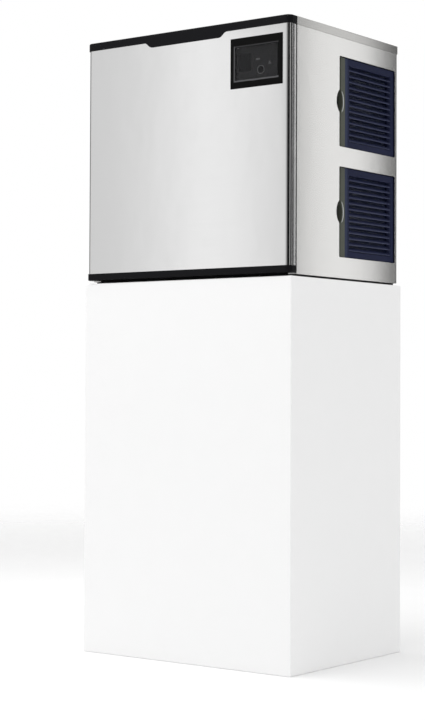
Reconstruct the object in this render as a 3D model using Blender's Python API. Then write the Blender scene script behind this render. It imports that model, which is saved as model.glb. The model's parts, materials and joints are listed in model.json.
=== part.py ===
"""Modular ice maker head: a steel cabinet that grows ice and drops it through an opening in its base.

X runs to the right as seen from the front, Y to the back and Z up. Sizes are in metres. The origin is
under the middle of the box round the whole head, on the face that the base gasket stands on.
"""
import math

import bmesh
import bpy
from mathutils import Matrix, Vector

# Cabinet
width = 0.762
depth = 0.600
height = 0.750
fit = 0.0003
steel = 0.001
side_flange = 0.028
cover_flange = 0.0252
rear_overhang = 0.004
fitting_reach = 0.018

# Base
gasket_height = 0.006
gasket_width = 0.020
gasket_inset = 0.006
base_floor = 0.0025
base_wall = 0.002
base_rim = 0.046
collar_height = 0.016
drop_margin = 0.001
drop_front = 0.058
drop_depth = 0.108

# Posts and rail behind the front panel
post_width = 0.022
post_depth = 0.025
post_sheet = 0.0015
rail_height = 0.025

# Front panel
door_depth = 0.036
door_seam = 0.0013
skin_set = 0.003
trim_wall = 0.0025
trim_radius = 0.018
trim_round = 0.003
trim_lift = 0.0032
top_trim_height = 0.024
bottom_trim_height = 0.0206
grip_drop = 0.0155
grip_half = 0.152
grip_slope = 0.0255
liner_inset = 0.022
liner_thickness = 0.018
liner_lift = 0.004
seal_width = 0.012
seal_inset = 0.004
ear_in = 0.131
ear_width = 0.012
ear_radius = 0.0025
ear_clearance = 0.0015
hinge_pin_radius = 0.0018
hinge_pin_reach = 0.005
hinge_back = 0.0085
rib_thickness = 0.002
rib_half_depth = 0.0042
rib_height = 0.0085
rib_gap = 0.0005

# Control panel in the front panel
panel_side = 0.0275
panel_width = 0.1831
panel_drop = 0.050
panel_height = 0.1475
rail_side = 0.0157
rail_bottom = 0.0237
rail_top = 0.0265
bezel_slope = 0.0012
bezel_edge = 0.0024
bezel_wall = 0.0025
bezel_depth = 0.026
notch_in = 0.0823
notch_radius = 0.013
notch_depth = 0.0015
flap_set = 0.0012
flap_thickness = 0.0022
flap_clearance = 0.0005
barrel_radius = 0.0016
barrel_drop = 0.003
fascia_set = 0.0105
fascia_thickness = 0.0025
board_set = 0.018
board_thickness = 0.0016
button_proud = 0.0012
button_flange = 0.001
button_travel = 0.0015
power_in = 0.0648
power_up = 0.0258
power_radius = 0.0135
power_groove = 0.0095
arrow_in = 0.0343
arrow_up = 0.0428
arrow_radius = 0.0075
menu_in = 0.0758
menu_up = 0.0578
menu_length = 0.014
menu_height = 0.006
display_in = 0.0059
display_up = 0.0258
display_width = 0.046
display_height = 0.052

# Filter openings in the right side panel, and what lies behind them
window_back = 0.2665
window_rear_gap = 0.0112
window_foot = 0.0688
window_gap = 0.0597
window_head = 0.0803
window_radius = 0.004
moon_height = 0.068
moon_depth = 0.016
guide_front = 0.020
guide_rim = 0.0035
guide_depth = 0.0285
guide_ledge = 0.008
ledge_thickness = 0.0095
filter_set = 0.004
filter_gap = 0.012
filter_clearance = 0.0015
filter_axis_in = 0.0025
filter_axis_set = 0.0015
filter_rail = 0.048
filter_rear_band = 0.016
filter_top_band = 0.020
filter_bottom_band = 0.018
scoop_depth = 0.010
louvre_count = 13
louvre_thickness = 0.002
louvre_lean = 0.010

# Condenser, fan and motor
condenser_gap = 0.004
condenser_thickness = 0.058
condenser_margin = 0.018
condenser_rise = 0.024
condenser_drop = 0.045
fin_count = 16
fin_thickness = 0.003
fin_root = 0.010
end_plate = 0.002
shroud_depth = 0.034
shroud_wall = 0.0015
orifice_margin = 0.0122
collar_wall = 0.002
collar_depth = 0.016
fan_tip_gap = 0.005
fan_chord = 0.046
blade_sections = 6
root_lean = 52
tip_lean = 28
blade_swell = 0.40
fan_blades = 5
fan_hub_radius = 0.026
fan_hub_length = 0.028
fan_bore_depth = 0.018
blade_thickness = 0.002
shaft_radius = 0.004
shaft_clearance = 0.0004
motor_radius = 0.042
motor_length = 0.062
motor_round = 0.008
spider_thickness = 0.003
spider_arm = 0.018
spider_arms = 3
spider_standoff = 0.010

# Wall between the wet front and the machinery behind it, and the wall beside the ice
bulkhead_back = 0.247
bulkhead_thickness = 0.012
partition_side = 0.261
partition_thickness = 0.0025

# Evaporator
cell_pitch = 0.0286
cell_wall = 0.0016
cell_depth = 0.022
cell_draft = 0.92
grid_back = 0.0015
evaporator_side = 0.047
evaporator_gap = 0.1108
evaporator_head = 0.1188
evaporator_low = 0.288
evaporator_back = 0.195
frame_wall = 0.012
frame_head = 0.048
frame_lip = 0.004
serpentine_radius = 0.0055
serpentine_inset = 0.034
serpentine_passes = 6

# Water system
distributor_radius = 0.009
distributor_holes = 11
distributor_hole = 0.0014
curtain_axis_back = 0.165
curtain_axis_rise = 0.018
curtain_rod = 0.003
curtain_thickness = 0.0025
curtain_over_trough = 0.008
curtain_bulge = 0.008
ear_plate = 0.004
ear_notch = 0.0003
trough_front = 0.170
trough_low = 0.140
trough_height = 0.085
trough_wall = 0.0025
trough_left_overlap = 0.018
pump_in = 0.033
pump_motor_radius = 0.028
pump_motor_height = 0.060
pump_motor_rise = 0.034
pump_plate = 0.002
pump_column = 0.009
pump_bore = 0.0045
pump_wall = 0.0025
volute_radius = 0.025
volute_height = 0.018
volute_rise = 0.008
volute_eye = 0.011
impeller_radius = 0.019
impeller_shaft = 0.0035
impeller_disc = 0.002
impeller_vane = 0.006
impeller_vanes = 5
hose_radius = 0.0045
hose_bend = 0.016
float_in = 0.086
float_radius = 0.0115
float_height = 0.018
float_stem = 0.003
float_clearance = 0.0005
float_travel = 0.028
float_plate = 0.018
probe_in = 0.084
probe_ahead = 0.009
probe_rise = 0.003
probe_hub = 0.004
probe_width = 0.010
probe_length = 0.080
probe_thickness = 0.002
probe_pin = 0.0015
lug_width = 0.006
dump_in = 0.131
dump_radius = 0.014
dump_height = 0.034
drain_radius = 0.010
drain_bore = 0.0075
nut_radius = 0.017
nut_thickness = 0.006
inlet_in = 0.111
inlet_drop = 0.150
inlet_radius = 0.008
inlet_pipe = 0.005
spout_z = 0.255
spout_offset = 0.009

# Refrigeration
compressor_in = 0.075
compressor_radius = 0.082
compressor_height = 0.215
foot_height = 0.016
foot_radius = 0.013
foot_plate = 0.004
foot_half = 0.078
foot_bolt = 0.010
terminal_share = 0.60
terminal_depth = 0.018
stub_radius = 0.006
stub_offset = 0.040
stub_rise = 0.012
line_radius = 0.0045
line_bend = 0.008
line_inset = 0.024
drier_radius = 0.0125
drier_length = 0.110
drier_neck = 0.012
valve_radius = 0.011
coil_size = 0.032
hot_gas_in = 0.100
hot_gas_drop = 0.151

# Electrics
box_low = 0.400
box_top_gap = 0.020
lid_thickness = 0.0012
gland_in = 0.081
gland_drop = 0.110
gland_radius = 0.009
gland_nut = 0.014
gland_bore = 0.006

# Rear panel air outlet
vent_left = -0.180
vent_width = 0.340
vent_low = 0.160
vent_height = 0.360
vent_slats = 9
vent_slat = 0.0015
vent_lean = 0.016

# Levels and planes that follow from the sizes above
half_width = width / 2
front_y = -(depth + fitting_reach) / 2
rear_y = front_y + depth
side_outer = half_width - steel - fit
side_inner = side_outer - steel
inside_x = side_inner - fit
frame_x = inside_x - base_wall - fit
cabinet_y = front_y + door_depth + door_seam
inside_top = height - steel - fit
base_z = gasket_height + fit
floor_z = base_z + base_floor
rim_z = base_z + base_rim
base_front = cabinet_y + steel + fit
rear_panel_back = rear_y - fit
rear_panel_front = rear_panel_back - steel
base_back = rear_panel_front - fit
post_front = base_front + base_wall + fit
skin_x = half_width - skin_set
skin_front = front_y + skin_set
skin_back = skin_front + steel
trim_z = base_z + trim_lift
hinge_y = front_y + hinge_back
hinge_z = trim_z + trim_wall + fit + ear_radius
bulkhead_front = front_y + bulkhead_back
bulkhead_rear = bulkhead_front + bulkhead_thickness
partition_x = half_width - partition_side
window_front = front_y + window_back
window_rear = rear_y - window_rear_gap
window_height = (height - window_foot - window_gap - window_head) / 2
lower_window = window_foot
upper_window = lower_window + window_height + window_gap
guide_outer = side_inner - fit
guide_inner = guide_outer - guide_depth
ledge_face = guide_inner + ledge_thickness
condenser_right = guide_inner - fit
condenser_left = condenser_right - condenser_thickness
condenser_front = window_front + condenser_margin
condenser_back = window_rear - condenser_margin
condenser_low = floor_z + condenser_rise
condenser_high = inside_top - condenser_drop
shroud_right = condenser_left - fit
shroud_left = shroud_right - shroud_depth
fan_y = (condenser_front + condenser_back) / 2
fan_z = (condenser_low + condenser_high) / 2
orifice_radius = (condenser_back - condenser_front) / 2 - orifice_margin
compressor_x = partition_x - compressor_in
compressor_y = (bulkhead_rear + rear_panel_front) / 2
evaporator_x0 = evaporator_side - half_width
cell_columns = round((partition_x - evaporator_gap - evaporator_x0) / cell_pitch)
cell_rows = round((height - evaporator_head - evaporator_low) / cell_pitch)
evaporator_width = cell_pitch * cell_columns
evaporator_height = cell_pitch * cell_rows
evaporator_x1 = evaporator_x0 + evaporator_width
evaporator_top = evaporator_low + evaporator_height
evaporator_front = front_y + evaporator_back
evaporator_rear = evaporator_front + cell_depth + grid_back
frame_x0 = evaporator_x0 - frame_wall
frame_x1 = evaporator_x1 + frame_wall
frame_top = evaporator_top + frame_head
frame_front = evaporator_front - frame_lip
frame_rear = bulkhead_front - fit
curtain_y = front_y + curtain_axis_back
curtain_z = evaporator_top + curtain_axis_rise
trough_y0 = front_y + trough_front
trough_y1 = bulkhead_front - fit
trough_x0 = frame_x0 - trough_left_overlap
trough_x1 = partition_x - fit
trough_top = trough_low + trough_height
curtain_drop = curtain_z - trough_top - curtain_over_trough
pump_x = partition_x - pump_in
pump_y = (trough_y0 + trough_y1) / 2
float_x = partition_x - float_in
probe_x = evaporator_x0 + probe_in
dump_x = dump_in - half_width
inlet_x = inlet_in - half_width
inlet_z = height - inlet_drop
hot_gas_x = partition_x - hot_gas_in
hot_gas_z = evaporator_top - hot_gas_drop
gland_x = half_width - gland_in
gland_z = height - gland_drop
ear_x = half_width - ear_in
volute_z = trough_low + trough_wall + volute_rise
panel_right = half_width - panel_side
panel_left = panel_right - panel_width
panel_top = height - panel_drop
panel_low = panel_top - panel_height
glass_left = panel_left + rail_side
glass_right = panel_right - rail_side
glass_low = panel_low + rail_bottom
glass_top = panel_top - rail_top
notch_x = glass_right - notch_in
power_x = glass_right - power_in
power_z = glass_low + power_up
arrow_x = glass_right - arrow_in
arrow_z = glass_low + arrow_up
menu_x = glass_right - menu_in
menu_z = glass_low + menu_up
display_x = glass_left + display_in
display_z = glass_low + display_up
flap_y = front_y + flap_set + flap_thickness
flap_z = glass_top - barrel_drop
fascia_y = front_y + fascia_set
board_y = front_y + board_set

# Faces in the rounded edge of a trim
TRIM_STEPS = 2

# Share of the compressor's radius and height at the turns of its can, and the turn above the weld seam
CAN_PROFILE = (
    (0.00, 0.00),
    (0.80, 0.00),
    (0.94, 0.07),
    (0.97, 0.45),
    (1.00, 0.46),
    (1.00, 0.50),
    (0.97, 0.51),
    (0.96, 0.87),
    (0.80, 0.95),
    (0.45, 0.99),
    (0.00, 1.00),
)
CAN_WAIST = 6

# Colour, roughness and metallic value of each finish
BRUSHED = ((0.62, 0.62, 0.61), 0.32, 1.0)
GALVANISED = ((0.50, 0.51, 0.52), 0.45, 1.0)
COPPER = ((0.72, 0.36, 0.20), 0.30, 1.0)
NICKEL = ((0.66, 0.65, 0.61), 0.25, 1.0)
BRASS = ((0.70, 0.55, 0.25), 0.35, 1.0)
ALUMINIUM = ((0.70, 0.71, 0.72), 0.40, 1.0)
BLACK_PLASTIC = ((0.015, 0.015, 0.017), 0.35, 0.0)
DARK_GLASS = ((0.01, 0.01, 0.012), 0.10, 0.0)
GREY_PLASTIC = ((0.30, 0.31, 0.32), 0.50, 0.0)
WHITE_PLASTIC = ((0.75, 0.76, 0.76), 0.45, 0.0)
CLEAR_PLASTIC = ((0.70, 0.74, 0.76), 0.20, 0.0)
BLUE_PLASTIC = ((0.02, 0.04, 0.12), 0.40, 0.0)
GREEN_BOARD = ((0.03, 0.18, 0.08), 0.45, 0.0)
BLACK_RUBBER = ((0.02, 0.02, 0.02), 0.80, 0.0)
BLACK_PAINT = ((0.02, 0.02, 0.022), 0.30, 0.0)


def clear_scene():
    """Remove every object that the opened file holds."""
    for item in list(bpy.data.objects):
        bpy.data.objects.remove(item, do_unlink=True)


def arc(centre, radius, start, end, steps):
    """Points on a circle arc, both ends included; angles in degrees."""
    turn = (end - start) / steps
    angles = [math.radians(start + turn * step) for step in range(steps + 1)]
    return [(centre[0] + radius * math.cos(a), centre[1] + radius * math.sin(a)) for a in angles]


def circle(centre, radius, sides=16):
    """Closed round loop."""
    return arc(centre, radius, 0, 360, sides)[:-1]


def rectangle(low, high, radius=0.0, steps=3):
    """Closed loop of a rectangle whose corners may be rounded."""
    if radius == 0.0:
        return [low, (high[0], low[1]), high, (low[0], high[1])]
    loop = arc((low[0] + radius, low[1] + radius), radius, 180, 270, steps)
    loop += arc((high[0] - radius, low[1] + radius), radius, 270, 360, steps)
    loop += arc((high[0] - radius, high[1] - radius), radius, 0, 90, steps)
    loop += arc((low[0] + radius, high[1] - radius), radius, 90, 180, steps)
    return loop


def mirrored(loop):
    """The loop seen in a mirror across its first coordinate."""
    return [(-a, b) for a, b in loop]


def strip(path, thickness):
    """Closed section of a folded sheet that lies to the left of an open path."""
    points = [Vector(point) for point in path]
    headings = [(after - before).normalized() for before, after in zip(points, points[1:])]
    sides = [Vector((-heading.y, heading.x)) for heading in headings]
    shifted = [points[0] + sides[0] * thickness]
    for point, side, following in zip(points[1:], sides, sides[1:]):
        shifted.append(point + (side + following) * thickness / (1 + side.dot(following)))
    shifted.append(points[-1] + sides[-1] * thickness)
    return [tuple(point) for point in points + shifted[::-1]]


def place(axis, first, second, along):
    """Point from two coordinates in the section's plane and one along the axis."""
    if axis == "X":
        return (along, first, second)
    if axis == "Y":
        return (first, along, second)
    return (first, second, along)


def plate(axis, loops, low, high):
    """Solid extruded along an axis from an outline; further loops are holes."""
    bm = bmesh.new()
    edges = []
    for loop in loops:
        verts = [bm.verts.new(place(axis, a, b, low)) for a, b in loop]
        edges += [bm.edges.new(pair) for pair in zip(verts, verts[1:] + verts[:1])]
    bmesh.ops.triangle_fill(bm, edges=edges, use_beauty=True)
    grown = bmesh.ops.extrude_face_region(bm, geom=bm.faces[:])["geom"]
    far = [item for item in grown if isinstance(item, bmesh.types.BMVert)]
    bmesh.ops.translate(bm, verts=far, vec=place(axis, 0, 0, high - low))
    return bm


def block(low, high, bevel=0.0):
    """Box between two corners, with its edges broken by an optional bevel."""
    bm = bmesh.new()
    bmesh.ops.create_cube(bm, size=1)
    size = Vector(high) - Vector(low)
    bmesh.ops.scale(bm, verts=bm.verts, vec=size)
    bmesh.ops.translate(bm, verts=bm.verts, vec=Vector(low) + size / 2)
    if bevel:
        bmesh.ops.bevel(bm, geom=bm.edges[:], offset=bevel, segments=1, affect="EDGES")
    return bm


def tray(low, high, wall, floor, mouth):
    """Box that is open towards mouth, made by an inset and an extrusion of that face."""
    bm = block(low, high)
    mouth = Vector(mouth)
    top = max(bm.faces, key=lambda face: face.normal.dot(mouth))
    deep = abs((Vector(high) - Vector(low)).dot(mouth)) - floor
    bmesh.ops.inset_region(bm, faces=[top], thickness=wall)
    inner = bmesh.ops.extrude_discrete_faces(bm, faces=[top])["faces"][0]
    bmesh.ops.translate(bm, verts=inner.verts, vec=-mouth * deep)
    return bm


def turned(profile, centre, axis, sides=16):
    """Solid of revolution; the profile gives radius and height, and may start and end on the axis."""
    bm = bmesh.new()
    verts = [bm.verts.new((radius, 0, rise)) for radius, rise in profile]
    edges = [bm.edges.new(pair) for pair in zip(verts, verts[1:])]
    if profile[0][0] > 0:
        edges.append(bm.edges.new((verts[-1], verts[0])))
    bmesh.ops.spin(bm, geom=verts + edges, angle=math.tau, steps=sides, axis=(0, 0, 1), use_merge=True)
    bmesh.ops.remove_doubles(bm, verts=bm.verts, dist=1e-6)
    turn = Vector((0, 0, 1)).rotation_difference(Vector(axis)).to_matrix().to_4x4()
    bmesh.ops.transform(bm, verts=bm.verts, matrix=Matrix.Translation(centre) @ turn)
    return bm


def rod(start, end, radius, sides=12):
    """Plain round bar between two points."""
    line = Vector(end) - Vector(start)
    return turned([(0, 0), (radius, 0), (radius, line.length), (0, line.length)], start, line, sides)


def together(*meshes):
    """One mesh that holds several separate bodies, for use as a tool."""
    result = bmesh.new()
    for bm in meshes:
        held = bpy.data.meshes.new("held")
        bm.to_mesh(held)
        bm.free()
        result.from_mesh(held)
        bpy.data.meshes.remove(held)
    return result


def material(name, look):
    """Principled material of one piece."""
    colour, roughness, metallic = look
    made = bpy.data.materials.new(name)
    made.use_nodes = True
    shader = made.node_tree.nodes["Principled BSDF"]
    shader.inputs["Base Color"].default_value = (*colour, 1.0)
    shader.inputs["Roughness"].default_value = roughness
    shader.inputs["Metallic"].default_value = metallic
    return made


def add(name, bm, look, origin=None, carrier=None):
    """Object from a mesh in world coordinates, with its origin at a point and an optional parent."""
    bmesh.ops.recalc_face_normals(bm, faces=bm.faces)
    if origin is None:
        origin = sum((vert.co for vert in bm.verts), Vector()) / len(bm.verts)
    origin = Vector(origin)
    bmesh.ops.translate(bm, verts=bm.verts, vec=-origin)
    mesh = bpy.data.meshes.new(name)
    bm.to_mesh(mesh)
    bm.free()
    mesh.shade_smooth()
    mesh.set_sharp_from_angle(angle=math.radians(32))
    mesh.materials.append(material(name, look))
    piece = bpy.data.objects.new(name, mesh)
    bpy.context.collection.objects.link(piece)
    piece.parent = carrier
    piece.location = origin - (carrier.location if carrier else Vector())
    return piece


def pivot(name, point):
    """Empty that stands on a joint's axis and carries what turns with it."""
    empty = bpy.data.objects.new(name, None)
    empty.location = point
    bpy.context.collection.objects.link(empty)
    return empty


def work(piece, operation, bm):
    """Join a mesh to a piece or cut it away with a Boolean modifier."""
    tool = add(f"{piece.name}_tool_{len(piece.modifiers)}", bm, GREY_PLASTIC)
    tool.hide_render = True
    tool.display_type = "WIRE"
    modifier = piece.modifiers.new(operation.title(), "BOOLEAN")
    modifier.operation = operation
    modifier.object = tool


def join(piece, bm):
    work(piece, "UNION", bm)


def cut(piece, bm):
    work(piece, "DIFFERENCE", bm)


def shell(piece, thickness, outward):
    """Give an open surface a wall to its inner side; outward is the way that its largest face looks."""
    bm = bmesh.new()
    bm.from_mesh(piece.data)
    largest = max(bm.faces, key=lambda face: face.calc_area())
    if largest.normal.dot(Vector(outward)) < 0:
        bmesh.ops.reverse_faces(bm, faces=bm.faces)
    bm.to_mesh(piece.data)
    bm.free()
    wall = piece.modifiers.new("Wall", "SOLIDIFY")
    wall.thickness = thickness
    wall.offset = -1
    wall.use_even_offset = True


def bent(corners, radius, steps=3):
    """Path through corner points with every corner rounded to the bend radius."""
    corners = [Vector(corner) for corner in corners]
    path = [corners[0]]
    for before, corner, after in zip(corners, corners[1:], corners[2:]):
        back = (before - corner).normalized()
        on = (after - corner).normalized()
        half = back.angle(on) / 2
        centre = corner + (back + on).normalized() * radius / math.sin(half)
        start = corner + back * radius / math.tan(half) - centre
        end = corner + on * radius / math.tan(half) - centre
        sweep = math.pi - 2 * half
        for step in range(steps + 1):
            share = sweep * step / steps
            point = start * math.sin(sweep - share) + end * math.sin(share)
            path.append(centre + point / math.sin(sweep))
    path.append(corners[-1])
    return path


def pipe(name, corners, radius, bend, look, carrier=None):
    """Round tube along a bent path, as a curve with a bevel and filled caps."""
    path = bent(corners, bend)
    curve = bpy.data.curves.new(name, "CURVE")
    curve.dimensions = "3D"
    curve.bevel_depth = radius
    curve.bevel_resolution = 2
    curve.use_fill_caps = True
    spline = curve.splines.new("POLY")
    spline.points.add(len(path) - 1)
    start = path[0]
    for point, position in zip(spline.points, path):
        point.co = (*(position - start), 1)
    curve.materials.append(material(name, look))
    piece = bpy.data.objects.new(name, curve)
    bpy.context.collection.objects.link(piece)
    piece.parent = carrier
    piece.location = start - (carrier.location if carrier else Vector())
    return piece


def ring_frame(low, high, section):
    """Mitred picture frame round an opening; section gives left, bottom, right, top spread and depth."""
    bm = bmesh.new()
    rings = []
    for left, bottom, right, top, back in section:
        corners = [
            (low[0] - left, low[1] - bottom),
            (high[0] + right, low[1] - bottom),
            (high[0] + right, high[1] + top),
            (low[0] - left, high[1] + top),
        ]
        rings.append([bm.verts.new((x, front_y + back, z)) for x, z in corners])
    for ring, following in zip(rings, rings[1:] + rings[:1]):
        for corner in range(4):
            after = (corner + 1) % 4
            bm.faces.new((ring[corner], ring[after], following[after], following[corner]))
    return bm


def make_base():
    """Gasket, pan with the ice opening and its collar, and the ears that the front panel tilts on."""
    edges = []
    for inset in (gasket_inset, gasket_inset + gasket_width):
        low = (-inside_x + inset, base_front + inset)
        edges.append(rectangle(low, (inside_x - inset, base_back - inset)))
    add("base_gasket", plate("Z", edges, 0, gasket_height), BLACK_RUBBER)

    low = (-inside_x, base_front, base_z)
    high = (inside_x, base_back, rim_z)
    pan = add("base_pan", tray(low, high, base_wall, base_floor, (0, 0, 1)), BLACK_PLASTIC)
    left = evaporator_x0 - drop_margin
    right = evaporator_x1 + drop_margin
    near = front_y + drop_front
    far = near + drop_depth
    hole = rectangle((left, near), (right, far), trim_radius)
    grown = rectangle(
        (left - base_wall, near - base_wall),
        (right + base_wall, far + base_wall),
        trim_radius + base_wall,
    )
    join(pan, plate("Z", [grown], floor_z - base_floor / 2, floor_z + collar_height))
    cut(pan, plate("Z", [hole], base_z - base_wall, floor_z + collar_height + base_wall))
    root = base_front + base_wall / 2
    nose = arc((hinge_y, hinge_z), ear_radius, 90, 270, 6)
    ear = [(root, hinge_z + ear_radius), *nose, (root, hinge_z - ear_radius)]
    for x in (-ear_x, ear_x):
        reach = ear_width / 2 + hinge_pin_reach
        join(pan, plate("X", [ear], x - ear_width / 2, x + ear_width / 2))
        join(pan, rod((x - reach, hinge_y, hinge_z), (x + reach, hinge_y, hinge_z), hinge_pin_radius, 8))


def window_loop(low):
    """Outline of a filter opening with the half-moon finger notch in its front edge."""
    high = low + window_height
    middle = (low + high) / 2
    radius = (moon_height**2 / 4 + moon_depth**2) / (2 * moon_depth)
    half = math.degrees(math.asin(moon_height / 2 / radius))
    centre = (window_front - moon_depth + radius, middle)
    loop = rectangle((window_front, low), (window_rear, high), window_radius)
    return loop + arc(centre, radius, 180 - half, 180 + half, 8)


def make_cabinet():
    """Side panels, rear panel, top cover, posts and the rail between them."""
    fold = strip(
        [(side_outer - side_flange, cabinet_y), (side_outer, cabinet_y), (side_outer, rear_y)],
        steel,
    )
    add("left_side_panel", plate("Z", [mirrored(fold)], base_z, inside_top), BRUSHED)
    right = add("right_side_panel", plate("Z", [fold], base_z, inside_top), BRUSHED)
    for low in (lower_window, upper_window):
        cut(right, plate("X", [window_loop(low)], side_inner - steel, side_outer + steel))

    cover = bmesh.new()
    corners = [
        (-half_width, cabinet_y),
        (half_width, cabinet_y),
        (half_width, rear_y + rear_overhang),
        (-half_width, rear_y + rear_overhang),
    ]
    roof = cover.faces.new([cover.verts.new((x, y, height)) for x, y in corners])
    folded = [edge for edge in roof.edges if max(vert.co.y for vert in edge.verts) > cabinet_y + steel]
    grown = bmesh.ops.extrude_edge_only(cover, edges=folded)["geom"]
    lips = [item for item in grown if isinstance(item, bmesh.types.BMVert)]
    bmesh.ops.translate(cover, verts=lips, vec=(0, 0, -cover_flange))
    shell(add("top_cover", cover, BRUSHED), steel, (0, 0, 1))

    column = strip(
        [
            (frame_x - post_width, post_front),
            (frame_x, post_front),
            (frame_x, post_front + post_depth),
            (frame_x - post_width, post_front + post_depth),
        ],
        post_sheet,
    )
    add("left_front_post", plate("Z", [mirrored(column)], floor_z + fit, inside_top), GALVANISED)
    add("right_front_post", plate("Z", [column], floor_z + fit, inside_top), GALVANISED)
    beam = strip(
        [
            (post_front, inside_top - rail_height),
            (post_front, inside_top),
            (post_front + post_depth, inside_top),
        ],
        -post_sheet,
    )
    reach = frame_x - post_width - fit
    add("top_rail", plate("X", [beam], -reach, reach), GALVANISED)


def make_rear_panel():
    """Rear panel with the air outlet's slats and the holes for its fittings."""
    outline = rectangle((-inside_x, base_z), (inside_x, inside_top))
    vent = rectangle((vent_left, vent_low), (vent_left + vent_width, vent_low + vent_height))
    holes = [
        circle((dump_x, drain_z()), drain_radius + fit, 12),
        circle((inlet_x, inlet_z), inlet_radius + fit, 12),
        circle((gland_x, gland_z), gland_radius + fit, 12),
    ]
    rear = add("rear_panel", plate("Y", [outline, vent, *holes], rear_panel_front, rear_panel_back), BRUSHED)
    pitch = vent_height / vent_slats
    slats = []
    for number in range(vent_slats):
        low = vent_low + pitch * (number + 0.5)
        path = [(rear_panel_front - vent_lean, low + vent_lean / 2), (rear_panel_back, low - vent_lean / 2)]
        section = strip(path, vent_slat)
        slats.append(plate("X", [section], vent_left + fit, vent_left + vent_width - fit))
    cheek = [
        (rear_panel_front - vent_lean, vent_low),
        (rear_panel_back, vent_low),
        (rear_panel_back, vent_low + vent_height),
        (rear_panel_front - vent_lean, vent_low + vent_height),
    ]
    join(rear, plate("X", [cheek], vent_left - steel, vent_left + steel))
    join(rear, plate("X", [cheek], vent_left + vent_width - steel, vent_left + vent_width + steel))
    for slat in slats:
        join(rear, slat)


def drain_z():
    """Height of the drain pipe, at the side outlet of the dump valve."""
    return trough_low - fit - dump_height / 2


def wrap_path(half, front, back, radius, stops=()):
    """Plan of a wall that runs round the front and both sides, with extra points on the front."""
    path = [(-half, back)]
    path += arc((-half + radius, front + radius), radius, 180, 270, 5)
    path += [(x, front) for x in stops]
    path += arc((half - radius, front + radius), radius, 270, 360, 5)
    path.append((half, back))
    return path


def trim_surface(roof_z, edge_z, stops=()):
    """Outer surface of a trim: a roof or floor, a rounded edge, and a wall whose far edge may dip."""
    bm = bmesh.new()
    inward = math.copysign(trim_round, edge_z(0) - roof_z)
    rings = []
    for step in range(TRIM_STEPS + 1):
        angle = math.pi / 2 * step / TRIM_STEPS
        inset = trim_round * (1 - math.sin(angle))
        z = roof_z + inward * (1 - math.cos(angle))
        front = front_y + inset
        path = wrap_path(half_width - inset, front, front_y + door_depth, trim_radius - inset, stops)
        rings.append([bm.verts.new((x, y, z)) for x, y in path])
    rings.append([bm.verts.new((x, y, edge_z(x))) for x, y in path])
    bm.faces.new(rings[0])
    for ring, following in zip(rings, rings[1:]):
        for step in range(len(ring) - 1):
            bm.faces.new((ring[step], ring[step + 1], following[step + 1], following[step]))
    return bm


def grip_edge(x):
    """Lower edge of the top trim, which dips in the middle as a lip to pull by."""
    share = min(max((grip_half - abs(x)) / grip_slope, 0.0), 1.0)
    smooth = share * share * (3 - 2 * share)
    return height - top_trim_height - grip_drop * smooth


def make_front_panel(door):
    """Steel skin, trims, liner and seal of the panel that tilts forward."""
    outer = wrap_path(skin_x, skin_front, front_y + door_depth - fit, trim_radius - skin_set)
    inner = wrap_path(skin_x - steel, skin_back, front_y + door_depth - fit, trim_radius - skin_set - steel)
    low = trim_z + trim_wall + fit
    high = height - trim_wall - fit
    skin = add("front_panel", plate("Z", [outer + inner[::-1]], low, high), BRUSHED, carrier=door)
    grow = bezel_wall + fit
    hole_low = (glass_left - grow, glass_low - grow)
    hole_high = (glass_right + grow, glass_top + grow)
    cut(skin, plate("Y", [rectangle(hole_low, hole_high)], front_y, front_y + door_depth))

    slope = [grip_half - grip_slope * share for share in (0, 0.25, 0.5, 0.75, 1)]
    stops = [-x for x in slope] + slope[::-1]
    back = front_y + door_depth
    top = add("top_trim", trim_surface(height, grip_edge, stops), BLACK_PLASTIC, carrier=door)
    shell(top, trim_wall, (0, 0, 1))

    edge = trim_z + bottom_trim_height
    bottom = add("bottom_trim", trim_surface(trim_z, lambda x: edge), BLACK_PLASTIC, carrier=door)
    shell(bottom, trim_wall, (0, 0, -1))
    rib_y = skin_back + fit
    rib = rectangle((rib_y, trim_z + trim_wall / 2), (hinge_y + rib_half_depth, trim_z + rib_height))
    bore = circle((hinge_y, hinge_z), hinge_pin_radius + fit, 8)
    for x in (-ear_x, ear_x):
        half = ear_width / 2 + ear_clearance
        slot = rectangle((x - half, hinge_y - ear_radius - fit), (x + half, back + steel))
        cut(bottom, plate("Z", [slot], trim_z - steel, trim_z + trim_wall + steel))
        for start in (x - half - rib_gap - rib_thickness, x + half + rib_gap):
            join(bottom, plate("X", [rib, bore], start, start + rib_thickness))

    liner_low = edge + liner_lift
    liner_high = height - top_trim_height
    liner_x = half_width - liner_inset
    liner_y = skin_back + fit
    outline = rectangle((-liner_x, liner_low), (liner_x, liner_high), trim_radius)
    field = plate("Y", [outline, rectangle(hole_low, hole_high)], liner_y, liner_y + liner_thickness)
    add("door_liner", field, WHITE_PLASTIC, carrier=door)
    seal_x = liner_x - seal_inset
    seal = rectangle((-seal_x, liner_low + seal_inset), (seal_x, liner_high - seal_inset), trim_radius)
    within = rectangle(
        (-seal_x + seal_width, liner_low + seal_inset + seal_width),
        (seal_x - seal_width, liner_high - seal_inset - seal_width),
        trim_radius - seal_width / 2,
    )
    bulb = plate("Y", [seal, within], liner_y + liner_thickness + fit, cabinet_y - fit)
    add("door_gasket", bulb, BLACK_RUBBER, carrier=door)


def up_outline(grow=0.0):
    """Pointed-up triangle of the up button, grown by the same amount on every side."""
    return arc((arrow_x, arrow_z), arrow_radius + 2 * grow, 90, 450, 3)[:-1]


def menu_outline(grow=0.0):
    """Short bar of the menu button, grown by the same amount on every side."""
    along = menu_length / 2 + grow
    across = menu_height / 2 + grow
    return rectangle((menu_x - along, menu_z - across), (menu_x + along, menu_z + across))


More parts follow.
